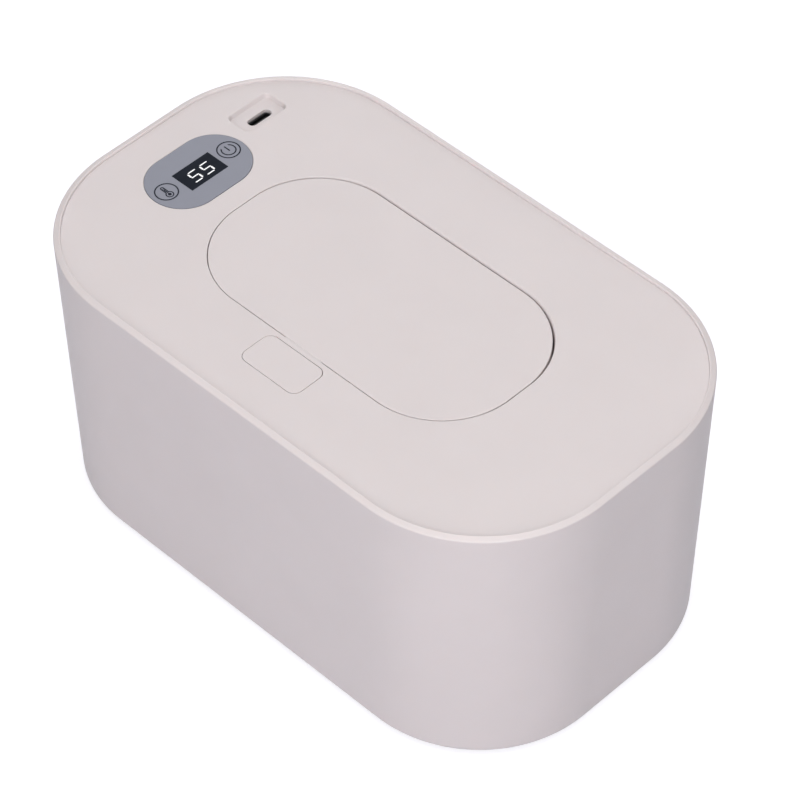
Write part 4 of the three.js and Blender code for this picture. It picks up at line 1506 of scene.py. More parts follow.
@dataclass(frozen=True)
class LidCover:
    """The sunk top plate with the well, the button's hole, the panel's pocket and the inlet."""

    outline: Outline = Outline(0.0, 0.0, 210.46, 124.76, 46.33)
    bottom: float = 96.4
    top: float = 102.4
    edge: float = 0.06
    plate_under: float = 100.0
    skirt_wall: float = 1.8
    well: Outline = Outline(-0.23, 0.175, 118.54, 65.15, 28.2)
    well_floor: float = 91.2
    well_under: float = 89.4
    well_wall: float = 1.45
    well_edge: float = 0.2
    back_edge: float = 0.9
    well_steps: tuple[float, ...] = (-0.01, 0.02, 0.06, 0.12, 0.2, 0.32, 0.48, 0.68, 0.9)
    plate_overlap: float = 0.5
    mouth: Outline = MOUTH
    collar_wall: float = 3.0
    collar_top: float = 93.7
    collar_round: float = 0.5
    button_hole: Outline = Outline(-0.3, -41.1, 24.52, 14.04, 3.3)
    button_edge: float = 0.15
    pocket: Outline = Outline(-80.45, -0.12, 25.5, 38.45, 12.75)
    pocket_edge: float = 0.12
    pocket_floor: float = 101.8
    window: Outline = Outline(-80.1, 0.0, 10.5, 16.6, 0.6)
    recess: Outline = Outline(-87.25, 32.3, 10.1, 17.8, 2.2)
    recess_floor: float = 100.7
    recess_edge: float = 0.6
    recess_draft: float = 0.4
    slot: Outline = Outline(-86.28, 32.3, 3.35, 9.45, 1.65)
    slot_edge: float = 0.2
    pad_under: float = 99.3
    pad_margin: float = 2.0
    skirt_clear: float = 4.2
    latch_hole_half: float = 8.1
    latch_hole: Point = (95.0, 97.4)
    latch_reach: Point = (3.0, 1.0)
    ear_thickness: float = 2.4
    ear_reach: float = 2.2
    ear_gap: float = 3.6
    ear_round_share: float = 0.98
    arm_slot_bottom: float = 91.5
    bore_half: float = 12.0
    boss_room: float = 1.9

    def build(self, hinge: Hinge) -> None:
        """Builds the lid cover.

        Args:
            hinge: Places of the door's hinge.
        """
        cover = Piece.slab("lid_plate", self.outline, self.bottom, self.top - self.edge, 48)
        cover.follow(Side.TOP, rounded_edge(self.edge, self.top, 5))
        cover.follow(Side.BOTTOM, hollow(self.bottom, self.skirt_wall, self.plate_under))
        cover.join(self.bucket(), self.pad())
        cover.cut(self.well_tool())
        cover.join(self.collar(), *self.ears(hinge))
        cover.cut(
            Piece.slab("mouth", self.mouth, self.well_under - PAST, self.collar_top + PAST),
            sunk_edge("hole", self.button_hole, self.button_edge, self.top, self.bottom - PAST),
            sunk_edge("pocket", self.pocket, self.pocket_edge, self.top, self.pocket_floor),
            Piece.slab("window", self.window, self.plate_under - PAST, self.top, 6),
            sunk_edge("recess", self.recess, self.recess_edge, self.top, self.recess_floor,
                      self.recess_draft),
            sunk_edge("slot", self.slot, self.slot_edge, self.recess_floor, self.pad_under - PAST),
            self.latch_slot(),
            *self.hinge_room(hinge),
        )
        cover.smoothed().dressed("lid", "shell", "lid_cover")

    def well_at(self, depth: float) -> Outline:
        """Finds the well's outline at a depth below the surface.

        Args:
            depth: The depth, negative above the surface.

        Returns:
            The outline, wider at the back where the edge is softer.
        """
        side, back = (edge_reach(edge, depth) for edge in (self.well_edge, self.back_edge))
        grown = self.well.grown(side)
        return replace(grown, y=grown.y + (back - side) / 2, width=grown.width + back - side)

    def well_tool(self) -> Piece:
        """Makes the tool that cuts the well.

        Returns:
            The tool.
        """
        path = [(self.well_at(depth), self.top - depth) for depth in self.well_steps]
        path = [(path[0][0], self.top + TOOL_FOOT), *path, (self.well, self.well_floor)]
        tool = Piece.slab("well", path[0][0], self.top + TOOL_FOOT, self.top + TOOL_HEAD)
        return tool.taper(path)

    def bucket(self) -> Piece:
        """Returns the outside of the well."""
        return Piece.slab("bucket", self.well.grown(self.well_wall), self.well_under,
                          self.plate_under + self.plate_overlap)

    def pad(self) -> Piece:
        """Returns the thicker pad under the inlet's recess, held inside the skirt."""
        pad = Piece.slab("pad", self.recess.grown(self.pad_margin), self.pad_under,
                         self.plate_under + self.plate_overlap, 12)
        return pad.keep(Piece.slab("room", self.outline.grown(-self.skirt_clear),
                                   self.pad_under - PAST, self.top))

    def collar(self) -> Piece:
        """Returns the collar round the mouth, its upper edge rounded."""
        collar = Piece.slab("collar", self.mouth.grown(self.collar_wall),
                            self.well_floor - OVERLAP, self.collar_top - self.collar_round)
        return collar.follow(Side.TOP, rounded_edge(self.collar_round, self.collar_top, 5))

    def ears(self, hinge: Hinge) -> list[Piece]:
        """Makes the ears that hold the hinge pins under the plate.

        Args:
            hinge: Places of the door's hinge.

        Returns:
            The four ears.
        """
        inner = hinge.arm_width / 2 + hinge.side_gap
        outer = inner + self.ear_gap
        bottom = hinge.z - self.ear_reach
        pairs = ((outer, outer + self.ear_thickness), (-inner, -inner - self.ear_thickness))
        ears = []
        for place, side in zip(hinge.arm_places, SIDES):
            for near, far in pairs:
                low, high = sorted((place + side * near, place + side * far))
                ear = Piece.block(
                    "ear", (low, hinge.y - self.ear_reach, bottom),
                    (high, hinge.y + self.ear_reach, self.plate_under + OVERLAP),
                )
                ear.bevel_edges(lambda edge: is_level_edge(edge, bottom, Axis.X),
                                self.ear_reach * self.ear_round_share, 12)
                ears.append(ear)
        return ears

    def latch_slot(self) -> Piece:
        """Returns the tool for the slot that the latch's nose passes."""
        depths = (self.well.front - self.latch_reach[0], self.well.front + self.latch_reach[1])
        return Piece.centred("latch_slot", self.well.x, self.latch_hole_half, depths,
                             self.latch_hole)

    def hinge_room(self, hinge: Hinge) -> list[Piece]:
        """Makes the tools that give the hinge its room.

        Args:
            hinge: Places of the door's hinge.

        Returns:
            The tools for the arms' slots, the pins' bores and the room over the bosses.
        """
        depths = (self.well.back - OVERLAP, self.well.back + self.well_wall + PAST)
        heights = (self.arm_slot_bottom, self.plate_under + HAIR)
        half = hinge.arm_width / 2 + hinge.side_gap
        bore = hinge.pin_radius + hinge.pin_clearance
        tools = []
        for place, side in zip(hinge.arm_places, SIDES):
            low, high = sorted((place - side * half, place + side * (half + self.ear_gap)))
            tools += [
                Piece.centred("arm_slot", place, half, depths, heights),
                Piece.rod("pin_bore", Axis.X, (place - self.bore_half, hinge.y, hinge.z),
                          2 * self.bore_half, bore),
                Piece.rod("boss_room", Axis.X, (low + HAIR, hinge.y, hinge.z),
                          high - low - 2 * HAIR, self.boss_room),
            ]
        return tools


@dataclass(frozen=True)
class FlapDoor:
    """The flap over the wipes with its skirt, tongue, catch and two gooseneck arms."""

    outline: Outline = Outline(-0.3, 0.0, 117.96, 64.26, 27.93)
    top: float = 102.4
    edge: float = 0.3
    plate_under: float = 100.4
    skirt_wall: float = 1.6
    bottom: float = 97.8
    tongue_half: float = 7.7
    tongue_reach: float = 0.24
    tongue_heights: Point = (101.0, 102.25)
    catch_half: float = 10.0
    catch_bottom: float = 93.6
    catch_round: float = 1.0
    catch_window_half: float = 8.1
    catch_window: Point = (95.0, 97.4)
    arm_first: float = 270.0
    arm_last: float = 168.0
    heel_round: float = 1.2
    stem: Point = (38.75, 40.25)
    boss: float = 1.6
    bore_half: float = 4.0
    liner_inset: float = 1.9
    liner_wall: float = 1.2
    liner_heights: Point = (97.0, 100.1)
    liner_plate: float = 1.5
    liner_round: float = 0.4
    groove: Point = (0.2, 2.8)
    groove_depth: float = 0.5
    seal: Point = (0.5, 2.5)
    seal_heights: Point = (94.0, 97.2)
    bead_share: float = 0.96

    def build(self, hinge: Hinge, mouth: Outline) -> None:
        """Builds the door, its liner and its seal.

        Args:
            hinge: Places of the hinge.
            mouth: Outline of the mouth that the seal closes.
        """
        door = Piece.slab("door_plate", self.outline, self.bottom, self.top - self.edge)
        door.follow(Side.TOP, rounded_edge(self.edge, self.top, 5))
        door.follow(Side.BOTTOM, hollow(self.bottom, self.skirt_wall, self.plate_under))
        door.join(self.tongue(), self.catch(), *[self.arm(hinge, x) for x in hinge.arm_places])
        door.cut(*[
            Piece.rod("bore", Axis.X, (x - self.bore_half, hinge.y, hinge.z),
                      2 * self.bore_half, hinge.pin_radius + hinge.pin_clearance)
            for x in hinge.arm_places
        ])
        door.smoothed().dressed("door", "shell", "door_cover")
        self.build_liner(mouth)
        self.build_seal(mouth)

    def tongue(self) -> Piece:
        """Returns the tongue just below the surface that closes the seam beside the button."""
        depths = (self.outline.front - self.tongue_reach, self.outline.front + OVERLAP)
        return Piece.centred("tongue", self.outline.x, self.tongue_half, depths,
                             self.tongue_heights)

    def catch(self) -> Piece:
        """Makes the catch with its window for the latch.

        Returns:
            The catch.
        """
        x, low, front = self.outline.x, self.catch_bottom, self.outline.front
        back = front + self.skirt_wall
        tab = Piece.centred("catch", x, self.catch_half, (front + HAIR, back - HAIR),
                            (low, self.bottom + OVERLAP))
        tab.bevel_edges(lambda edge: is_level_edge(edge, low, Axis.Y), self.catch_round, 6)
        return tab.cut(Piece.centred("catch_window", x, self.catch_window_half,
                                     (front - PAST, back + PAST), self.catch_window))

    def arm(self, hinge: Hinge, place: float) -> Piece:
        """Returns one gooseneck arm: a block spun round the hinge, with a stem and a boss.

        Args:
            hinge: Places of the hinge.
            place: Middle of the arm along the door.

        Returns:
            The arm.
        """
        half = hinge.arm_width / 2
        low, high = hinge.z - hinge.arm_outer, hinge.z - hinge.arm_inner
        heel = self.stem[1]
        neck = Piece.centred("arm", place, half, (hinge.y, heel), (low, high))
        neck.bevel_edges(lambda edge: is_level_edge(edge, low, Axis.X, heel), self.heel_round, 6)
        neck.spin_face(lambda face: face.normal.y < -SQUARE, (0.0, hinge.y, hinge.z),
                       self.arm_first - self.arm_last, 24)
        stem = Piece.block(
            "stem", (place - half + HAIR, self.stem[0], high - OVERLAP),
            (place + half - HAIR, heel - HAIR, hinge.z),
        )
        boss = Piece.rod(
            "boss", Axis.X, (place - half + 2 * HAIR, hinge.y, hinge.z),
            hinge.arm_width - 4 * HAIR, self.boss,
        )
        return neck.join(stem, boss)

    def build_liner(self, mouth: Outline) -> None:
        """Builds the liner: a tray that closes the door from below, with the seal's groove.

        Args:
            mouth: Outline of the mouth that the seal closes.
        """
        low, high = self.liner_heights
        tray = self.outline.grown(-self.liner_inset)
        liner = Piece.slab("liner_tray", tray, low + self.liner_round, high)
        liner.follow(Side.BOTTOM, rounded_foot(self.liner_round, low, 4))
        liner.follow(Side.TOP, hollow(high, self.liner_wall, low + self.liner_plate))
        inner, outer = (mouth.grown(by) for by in self.groove)
        groove = Piece.slab("groove", outer, low - PAST, low + self.groove_depth)
        liner.cut(groove.cut(Piece.slab("land", inner, low - 2 * PAST, high)))
        liner.smoothed().dressed("door", "inner_shell", "door_liner")

    def build_seal(self, mouth: Outline) -> None:
        """Builds the seal with its round lower bead.

        Args:
            mouth: Outline of the mouth that it closes.
        """
        inner, outer = self.seal
        low, high = self.seal_heights
        bead = (outer - inner) / 2 * self.bead_share
        ring = Piece.slab("seal_ring", mouth.grown(outer), low, high)
        ring.cut(Piece.slab("inside", mouth.grown(inner), low - PAST, high + PAST))
        ring.bevel_edges(lambda edge: is_flat_rim(edge, low), bead, 8)
        ring.smoothed(50).dressed("door", "silicone", "door_seal")


@dataclass(frozen=True)
class PushButton:
    """The push button with its flange and lug, and its two springs."""

    outline: Outline = Outline(-0.36, -41.1, 24.22, 13.68, 3.15)
    top: float = 102.4
    edge: float = 0.2
    wall: float = 1.4
    plate_under: float = 100.6
    bottom: float = 98.9
    flange: Outline = Outline(-0.3, -41.7, 26.6, 14.9, 3.15)
    flange_top: float = 99.7
    lug_half: float = 3.2
    lug_y: Point = (-46.926, -40.026)
    lug_z: Point = (94.6, 101.0)
    lug_ramp: Point = (-42.626, 94.6)
    spring_half_span: float = 8.95
    spring_z: Point = (87.15, 100.05)
    spring: PressSpring = PressSpring("button_press", Axis.Z, 1.2, 6.0)

    def build(self) -> None:
        """Builds the button and its springs."""
        cap = Piece.slab("button_cap", self.outline, self.bottom, self.top - self.edge, 20)
        cap.follow(Side.TOP, rounded_edge(self.edge, self.top, 5))
        cap.join(Piece.slab("flange", self.flange, self.bottom, self.flange_top, 20))
        cap.cut(Piece.slab("inside", self.outline.grown(-self.wall), self.bottom - PAST,
                           self.plate_under, 12))
        cap.join(self.lug())
        cap.smoothed().dressed("button", "shell", "push_button")
        low, high = self.spring_z
        for k, side in enumerate(SIDES, 1):
            seat = (self.outline.x + side * self.spring_half_span, self.outline.y, low)
            self.spring.build(f"button_coil_{k}", f"button_spring_{k}", seat, high - low)

    def lug(self) -> Piece:
        """Returns the lug with the ramp that draws the latch."""
        lug = Piece.centred("lug", self.outline.x, self.lug_half, self.lug_y, self.lug_z)
        return lug.slice_off((self.outline.x, *self.lug_ramp), (0.0, -1.0, -1.0))


@dataclass(frozen=True)
class Latch:
    """The latch slide with its window and nose, and its spring."""

    x: float = -0.3
    half: float = 5.5
    y: Point = (-48.55, -34.35)
    z: Point = (93.2, 96.4)
    window_half: float = 3.6
    window_front: float = -36.95
    window_past: float = 5.0
    ramp_sum: float = 51.55
    nose_half: float = 7.7
    nose_y: Point = (-35.95, -32.35)
    nose_z: Point = (95.4, 97.0)
    corner: float = 0.5
    spring_y: Point = (-57.64, -49.11)
    spring: PressSpring = PressSpring("latch_draw", Axis.Y, 1.15, 5.0)

    def build(self) -> None:
        """Builds the slide and its spring."""
        low, high = self.z
        slide = Piece.centred("latch_bar", self.x, self.half, self.y, self.z)
        slide.bevel_edges(is_upright, self.corner, 5)
        window = Piece.centred(
            "window", self.x, self.window_half, (self.y[0] - self.window_past, self.window_front),
            (low - PAST, high + PAST),
        )
        window.slice_off((self.x, self.ramp_sum - high, high), (0.0, -1.0, -1.0))
        nose = Piece.centred("nose", self.x, self.nose_half, self.nose_y, self.nose_z)
        slide.cut(window).join(nose)
        slide.smoothed().dressed("latch", "inner_shell", "latch_slide")
        start, end = self.spring_y
        seat = (self.x, start, (low + high) / 2)
        self.spring.build("latch_coil", "latch_spring", seat, end - start)


class Segment(Enum):
    """A bar of a digit: its middle across and up the digit in half widths and half heights."""

    TOP = (0.0, 1.0)
    UPPER_LEFT = (-1.0, 0.5)
    MIDDLE = (0.0, 0.0)
    LOWER_RIGHT = (1.0, -0.5)
    BOTTOM = (0.0, -1.0)


@dataclass(frozen=True)
class Display:
    """The dark window with its two lit digits."""

    window: Outline = Outline(-80.0, 0.12, 9.7, 15.75, 0.12)
    window_z: Point = (102.2, 102.515)
    window_edge: float = 0.02
    digit_x: float = -79.56
    digit_y: tuple[float, float] = (-2.35, 2.78)
    half_width: float = 1.6
    half_height: float = 2.35
    level_bar: Point = (3.1, 0.46)
    upright_bar: Point = (1.95, 0.62)
    slant: float = 0.2
    point_share: float = 0.48
    lit_z: Point = (102.5, 102.53)

    def bar(self, name: str, along_y: float, along_x: float) -> Piece:
        """Returns one bar with pointed ends, in the middle of the plan.

        Args:
            name: Name of the bar.
            along_y: Its size along Y.
            along_x: Its size along X.

        Returns:
            The bar.
        """
        bar = Piece.centred(name, 0.0, along_x / 2, (-along_y / 2, along_y / 2), self.lit_z)
        bar.bevel_edges(is_upright, min(along_x, along_y) * self.point_share, 1)
        return bar

    def digit(self, name: str, middle_y: float) -> Piece:
        """Returns the bars of a five as one piece.

        Args:
            name: Name of the piece.
            middle_y: Middle of the digit along the display.

        Returns:
            The lit bars.
        """
        length, width = self.level_bar
        level = self.bar("level", length, width)
        height, breadth = self.upright_bar
        upright = self.bar("upright", breadth, height)
        bars = []
        for segment in Segment:
            across, up = segment.value
            pattern = upright if across else level
            rise = up * self.half_height
            shift = across * self.half_width + rise * self.slant
            bars.append(pattern.copied(name, (self.digit_x - rise, middle_y + shift, 0.0)))
        for pattern in (level, upright):
            bpy.data.objects.remove(pattern.obj)
        whole = bars[0].merged(*bars[1:])
        whole.obj.name = whole.obj.data.name = name
        return whole

    def build(self) -> None:
        """Builds the window and the digits."""
        low, high = self.window_z
        start = high - self.window_edge
        pane = Piece.slab("display_pane", self.window, low, start, 4)
        pane.follow(Side.TOP, [(0.0, start), (self.window_edge, high)])
        pane.smoothed().dressed("lid", "overlay", finish=Finishes.WINDOW)
        for k, middle in enumerate(self.digit_y, 1):
            digit = self.digit(f"display_digit_{k}", middle)
            digit.dressed("lid", "overlay", finish=Finishes.DIGIT)


@dataclass(frozen=True)
class ControlPanel:
    """The grey overlay and the two printed touch symbols."""

    overlay: Outline = Outline(-80.45, -0.12, 25.2, 38.15, 12.6)
    bottom: float = 102.1
    top: float = 102.5
    edge: float = 0.1
    ink: float = 0.02
    power: Point = (-80.8, 13.41)
    heat: Point = (-80.67, -13.78)
    ring_radius: float = 4.0
    stroke: float = 0.48
    arc_radius: float = 2.6
    arc_gap: float = 1.45
    bar: Point = (-82.88, -80.2)
    glass_line: float = 0.4
    bulb_x: float = 1.55
    bulb_radius: float = 1.42
    dot_radius: float = 0.6
    stem_x: float = -0.8
    stem: Triple = (3.9, 1.4, 0.7)
    column_x: float = -1.1
    column_half: float = 0.17
    ticks: int = 4
    tick_x: Point = (-1.9, -1.68)
    tick_pitch: float = 0.52
    tick_half: float = 0.5

    def build(self) -> None:
        """Builds the overlay, the display and the symbols."""
        film = Piece.slab("overlay_film", self.overlay, self.bottom, self.top - self.edge, 40)
        film.follow(Side.TOP, rounded_edge(self.edge, self.top, 3))
        film.smoothed().dressed("lid", "overlay", "control_overlay")
        Display().build()
        self.build_power()
        self.build_heat()

    def ring(self, name: str, middle: Point, radius: float) -> Piece:
        """Returns a printed ring with that outer radius."""
        ring = Piece.disc(name, middle, radius, self.top, self.top + self.ink)
        return ring.cut(Piece.disc(
            "inside", middle, radius - self.stroke, self.top - PAST, self.top + PAST
        ))

    def printed(self, name: str, low: Point, high: Point) -> Piece:
        """Returns a printed rectangle between two corners of the plan."""
        return Piece.block(name, (*low, self.top), (*high, self.top + self.ink))

    def build_power(self) -> None:
        """Builds the on and off symbol: a ring, an open arc and a bar."""
        x, y = self.power
        circle = self.ring("power_symbol", self.power, self.ring_radius)
        bow = self.ring("bow", self.power, self.arc_radius)
        bow.cut(Piece.block(
            "opening", (x - self.ring_radius, y - self.arc_gap, self.top - PAST),
            (x, y + self.arc_gap, self.top + PAST),
        ))
        half = self.stroke / 2
        bar = self.printed("bar", (self.bar[0], y - half), (self.bar[1], y + half))
        circle.merged(bow, bar).dressed("lid", "overlay", finish=Finishes.INK)

    def build_heat(self) -> None:
        """Builds the thermometer symbol: a ring, an outlined bulb and stem, and its column."""
        x, y = self.heat
        circle = self.ring("heat_symbol", self.heat, self.ring_radius)
        glass = self.thermometer("glass", 0.0)
        glass.cut(self.thermometer("bore", -self.glass_line))
        dot = Piece.disc("dot", (x + self.bulb_x, y), self.dot_radius, self.top,
                         self.top + self.ink, 40)
        column = self.printed("column", (x + self.column_x, y - self.column_half),
                              (x + self.bulb_x, y + self.column_half))
        left, right = (x + edge for edge in self.tick_x)
        ticks = [
            self.printed("tick", (left + self.tick_pitch * k, y - self.tick_half),
                         (right + self.tick_pitch * k, y + self.tick_half))
            for k in range(self.ticks)
        ]
        circle.merged(glass, dot, column, *ticks).dressed("lid", "overlay", finish=Finishes.INK)

    def thermometer(self, name: str, grow: float) -> Piece:
        """Returns the full shape of the thermometer.

        Args:
            name: Name of the piece.
            grow: How much larger it is made all round, negative for its bore.

        Returns:
            The shape, thicker when it is a tool.
        """
        x, y = self.heat
        low, high = self.top, self.top + self.ink
        if grow:
            low, high = self.top - PAST, self.top + PAST
        stem = Outline(x + self.stem_x, y, *self.stem).grown(grow)
        shape = Piece.slab(name, stem, low, high, 10)
        bulb = (x + self.bulb_x, y)
        return shape.join(Piece.disc("bulb", bulb, self.bulb_radius + grow, low, high, 48))


@dataclass(frozen=True)
class UsbInlet:
    """The socket of the inlet with its contact tongue."""

    shell: Outline = Outline(-86.1, 32.25, 3.1, 9.0, 1.55)
    z: Point = (92.9, 99.3)
    wall: float = 0.35
    floor: float = 1.0
    rim: float = 0.1
    tongue_half: Point = (0.35, 3.3)
    tongue_z: Point = (94.2, 99.0)
    tongue_round: float = 0.08
    contacts: int = 12
    contact_width: float = 0.25
    contact_depth: float = 2.6
    contact_proud: float = 0.02
    contact_drop: float = 0.25
    contact_round: float = 0.015

    def build(self) -> None:
        """Builds the socket and its tongue with the rows of contacts."""
        low, high = self.z
        shell = Piece.slab("inlet_shell", self.shell, low, high - self.rim, 20)
        shell.follow(Side.TOP, [
            *rounded_edge(self.rim, high, 3), (self.wall, high), (self.wall, low + self.floor),
        ])
        # Its steel shell takes a near-black colour, painted shade of the deep slot.
        shell.smoothed().dressed("lid", "dark_plastic", "usb_socket", finish=Finishes.STEEL_WITH_PAINTED_SHADE)
        y = self.shell.y
        half_x, half_y = self.tongue_half
        tongue = Piece.centred("inlet_tongue", self.shell.x, half_x, (y - half_y, y + half_y),
                               self.tongue_z)
        tongue.bevel_edges(bool, self.tongue_round, 2)
        tongue.smoothed().dressed("lid", "dark_plastic", "usb_contact_tongue")
        self.build_contacts()

    def build_contacts(self) -> None:
        """Builds one contact and copies it along both faces of the tongue."""
        reach = self.tongue_half[0] + self.contact_proud
        half = self.contact_width / 2
        top = self.tongue_z[1] - self.contact_drop
        pitch = 2 * self.tongue_half[1] / (self.contacts + 1)
        first = self.shell.y - self.tongue_half[1] + pitch
        strip = Piece.centred("inlet_contacts", self.shell.x, reach,
                              (first - half, first + half), (top - self.contact_depth, top))
        strip.bevel_edges(bool, self.contact_round, 1)
        copies = [
            strip.copied(f"contact_{k}", (0.0, pitch * k, 0.0)) for k in range(1, self.contacts)
        ]
        strip.merged(*copies).dressed("lid", "steel", finish=Finishes.GOLD)


@dataclass(frozen=True)
class Screw:
    """A pan-head screw with a cross recess, its head down."""

    head_radius: float = 2.75
    head_height: float = 1.7
    head_round: float = 0.6
    radius: float = 1.3
    cross: Point = (1.55, 0.6)
    cross_depth: float = 0.9
    tip_taper: float = 0.5

    def made(self, name: str, place: Point, bottom: float, tip: float) -> Piece:
        """Returns the finished screw.

        Args:
            name: Its name.
            place: Its place in the plan.
            bottom: Height of its head's underside.
            tip: Height of its tip.

        Returns:
            The screw.
        """
        top, start = bottom + self.head_height, bottom + self.head_round
        screw = Piece.disc(name, place, self.head_radius, start, top, 48)
        screw.follow(Side.BOTTOM, rounded_foot(self.head_round, bottom, 6))
        end = tip - self.tip_taper
        shank = Piece.disc("shank", place, self.radius, top - OVERLAP, end, 32)
        screw.join(shank.follow(Side.TOP, [(0.0, end), (self.tip_taper, tip)]))
        reach, half = self.cross[0], self.cross[1] / 2
        x, y = place
        heights = (bottom - PAST, bottom + self.cross_depth)
        for size_x, size_y in ((reach, half), (half, reach)):
            screw.cut(Piece.centred("cross", x, size_x, (y - size_y, y + size_y), heights))
        return screw.smoothed()

    def build_row(self, name: str, node: str, places: Sequence[Point], z: Point) -> None:
        """Builds one screw and copies it to the other places.

        Args:
            name: Name of the pieces without their number.
            node: Name of the nodes that they replace, without their number.
            places: Their places in the plan.
            z: Heights of the head's underside and of the tip.
        """
        screw = self.made(f"{name}_1", places[0], *z)
        for k, piece in enumerate(screw.at_places(name, places), 1):
            piece.dressed("lid", "steel", f"{node}_{k}")


@dataclass(frozen=True)
class LidInside:
    """Housing, seal, mouth and screws that close the lid from below."""

    outline: Outline = Outline(0.0, 0.0, 205.7, 120.0, 43.95)
    bottom: float = 84.6
    top: float = 99.7
    wall: float = 1.8
    floor_top: float = 86.6
    fillet: float = 2.5
    mouth: Outline = MOUTH
    gasket_flange: float = 4.0
    upstand_top: float = 87.6
    guide_x: Point = (5.8, 7.0)
    guide_y: Point = (-49.35, -37.75)
    guide_z: Point = (92.9, 95.3)
    groove_z: Point = (89.5, 92.1)
    groove_depth: float = 0.7
    screw_places: tuple[Point, ...] = ((60.0, 40.0), (-60.0, 40.0), (-60.0, -40.0), (60.0, -40.0))
    screw_hole: float = 1.6
    screw_z: Point = (79.7, 93.6)
    board_places: tuple[Point, ...] = ((-69.0, 34.0), (-88.0, -34.0), (-69.0, -34.0))
    board_screw_z: Point = (89.0, 97.1)
    lead_window: tuple[Point, Point] = ((-77.0, -5.5), (-71.0, 5.5))
    sensor_places: tuple[Point, Point] = ((-50.0, 27.0), (-50.0, -27.0))
    sensor_window: Point = (4.5, 3.0)
    seal_outer: float = 0.57
    seal_inner: float = 0.4
    seal_z: Point = (89.8, 91.8)
    seal_belt: float = 0.05
    gasket_z: tuple[float, float, float, float] = (87.9, 89.1, 91.2, 91.6)
    gasket_lip: float = 8.0
    gasket_skin: float = 1.0
    gasket_neck: float = 1.5
    gasket_round: float = 0.3
    lip_margin: float = 0.2

    def build(self) -> None:
        """Builds the housing, the seal, the mouth and the screws."""
        self.build_housing()
        self.build_seal()
        self.build_gasket()
        self.build_screws()

    def build_housing(self) -> None:
        """Builds the housing tray with its upstand, latch guide, windows and groove."""
        turn = self.bottom + self.fillet
        tray = Piece.slab("housing_tray", self.outline, turn, self.top, 40)
        tray.follow(Side.BOTTOM, rounded_foot(self.fillet, self.bottom, 8))
        tray.follow(Side.TOP, hollow(self.top, self.wall, self.floor_top))
        tray.join(
            Piece.slab("upstand", self.mouth.grown(self.gasket_flange), self.bottom + OVERLAP,
                       self.upstand_top, 24),
            *self.guide(),
        )
        low, high = self.bottom - PAST, self.floor_top + PAST
        (x0, y0), (x1, y1) = self.lead_window
        tray.cut(
            Piece.slab("mouth", self.mouth.grown(self.gasket_flange - self.wall), low,
                       self.upstand_top + PAST, 24),
            Piece.block("lead_window", (x0, y0, low), (x1, y1, high)),
            *[self.sensor_cut(place, low, high) for place in self.sensor_places],
            *self.screw_holes(low, high),
        )
        groove = Piece.slab("groove", self.outline.grown(2 * PAST), *self.groove_z, 40)
        core = self.outline.grown(-self.groove_depth)
        tray.cut(groove.cut(Piece.slab("core", core, self.bottom, self.top, 40)))
        tray.smoothed().dressed("lid", "inner_shell", "lid_housing")

    def sensor_cut(self, place: Point, low: float, high: float) -> Piece:
        """Returns the tool for the window of a sensor at a place."""
        half_x, half_y = self.sensor_window
        return Piece.centred("sensor_window", place[0], half_x,
                             (place[1] - half_y, place[1] + half_y), (low, high))

    def screw_holes(self, low: float, high: float) -> list[Piece]:
        """Returns the tools for the screws' holes between two heights."""
        return [
            Piece.disc("hole", place, self.screw_hole, low, high, 32)
            for place in self.screw_places
        ]

    def guide(self) -> list[Piece]:
        """Makes the pad and the two walls that guide the latch.

        Returns:
            The three shapes.
        """
        x = self.mouth.x
        inner, outer = self.guide_x
        (back, front), (pad, wall) = self.guide_y, self.guide_z
        base = self.bottom + OVERLAP
        return [
            Piece.centred("guide_pad", x, outer, self.guide_y, (base, pad)),
            Piece.block("guide_wall", (x - outer, back, base), (x - inner, front, wall)),
            Piece.block("guide_wall", (x + inner, back, base), (x + outer, front, wall)),
        ]

    def build_seal(self) -> None:
        """Builds the seal round the housing with its round outer side."""
        low, high = self.seal_z
        belt = self.seal_belt
        bow = (high - low) / 2 - belt
        middle = (low + high) / 2
        ring = Piece.slab("lid_bead", self.outline.grown(self.seal_outer), middle - belt,
                          middle + belt, 40)
        for side, last in ((Side.TOP, 90), (Side.BOTTOM, 270)):
            start = middle + belt * side.value
            ring.follow(side, [(0.0, start), *arc((bow, start), bow, 180, last, 8)])
        ring.cut(Piece.slab("inside", self.outline.grown(-self.seal_inner), low - PAST,
                            high + PAST, 40))
        ring.smoothed().dressed("lid", "silicone", "lid_seal")

    def build_gasket(self) -> None:
        """Builds the silicone mouth with its flange, neck and thin lip."""
        low, flange_top, lip_top, top = self.gasket_z
        edge = self.gasket_round
        flange = Piece.slab("mouth_lip", self.mouth.grown(self.gasket_flange), low + edge,
                            flange_top, 24)
        flange.follow(Side.BOTTOM, rounded_foot(edge, low, 4))
        neck = Piece.slab("neck", self.mouth.grown(-edge), flange_top - edge, top - edge, 24)
        flange.join(neck.follow(Side.TOP, rounded_edge(edge, top, 4)))
        inner = self.mouth.grown(-edge - self.gasket_neck)
        lip = self.mouth.grown(-self.gasket_lip)
        flange.cut(
            Piece.slab("dish", inner, lip_top, top + PAST, 24),
            Piece.slab("under", inner, low - PAST, lip_top - self.gasket_skin, 24),
            Piece.slab("opening", lip, low - PAST, top + PAST, 24),
        )
        flange.bevel_edges(self.is_lip_rim, edge, 4)
        flange.smoothed().dressed("lid", "silicone", "mouth_gasket")

    def is_lip_rim(self, edge: Any) -> bool:
        """Tells whether an edge lies on the upper inner rim of the silicone mouth's lip.

        Args:
            edge: The edge.

        Returns:
            Whether it lies there.
        """
        reach = self.mouth.width / 2 - self.gasket_lip + self.lip_margin
        straight = self.mouth.length / 2 - self.mouth.corner
        for vertex in edge.verts:
            place = vertex.co / MM
            past = max(abs(place.x - self.mouth.x) - straight, 0.0)
            if math.hypot(past, place.y) > reach:
                return False
        return is_flat_rim(edge, self.gasket_z[2])

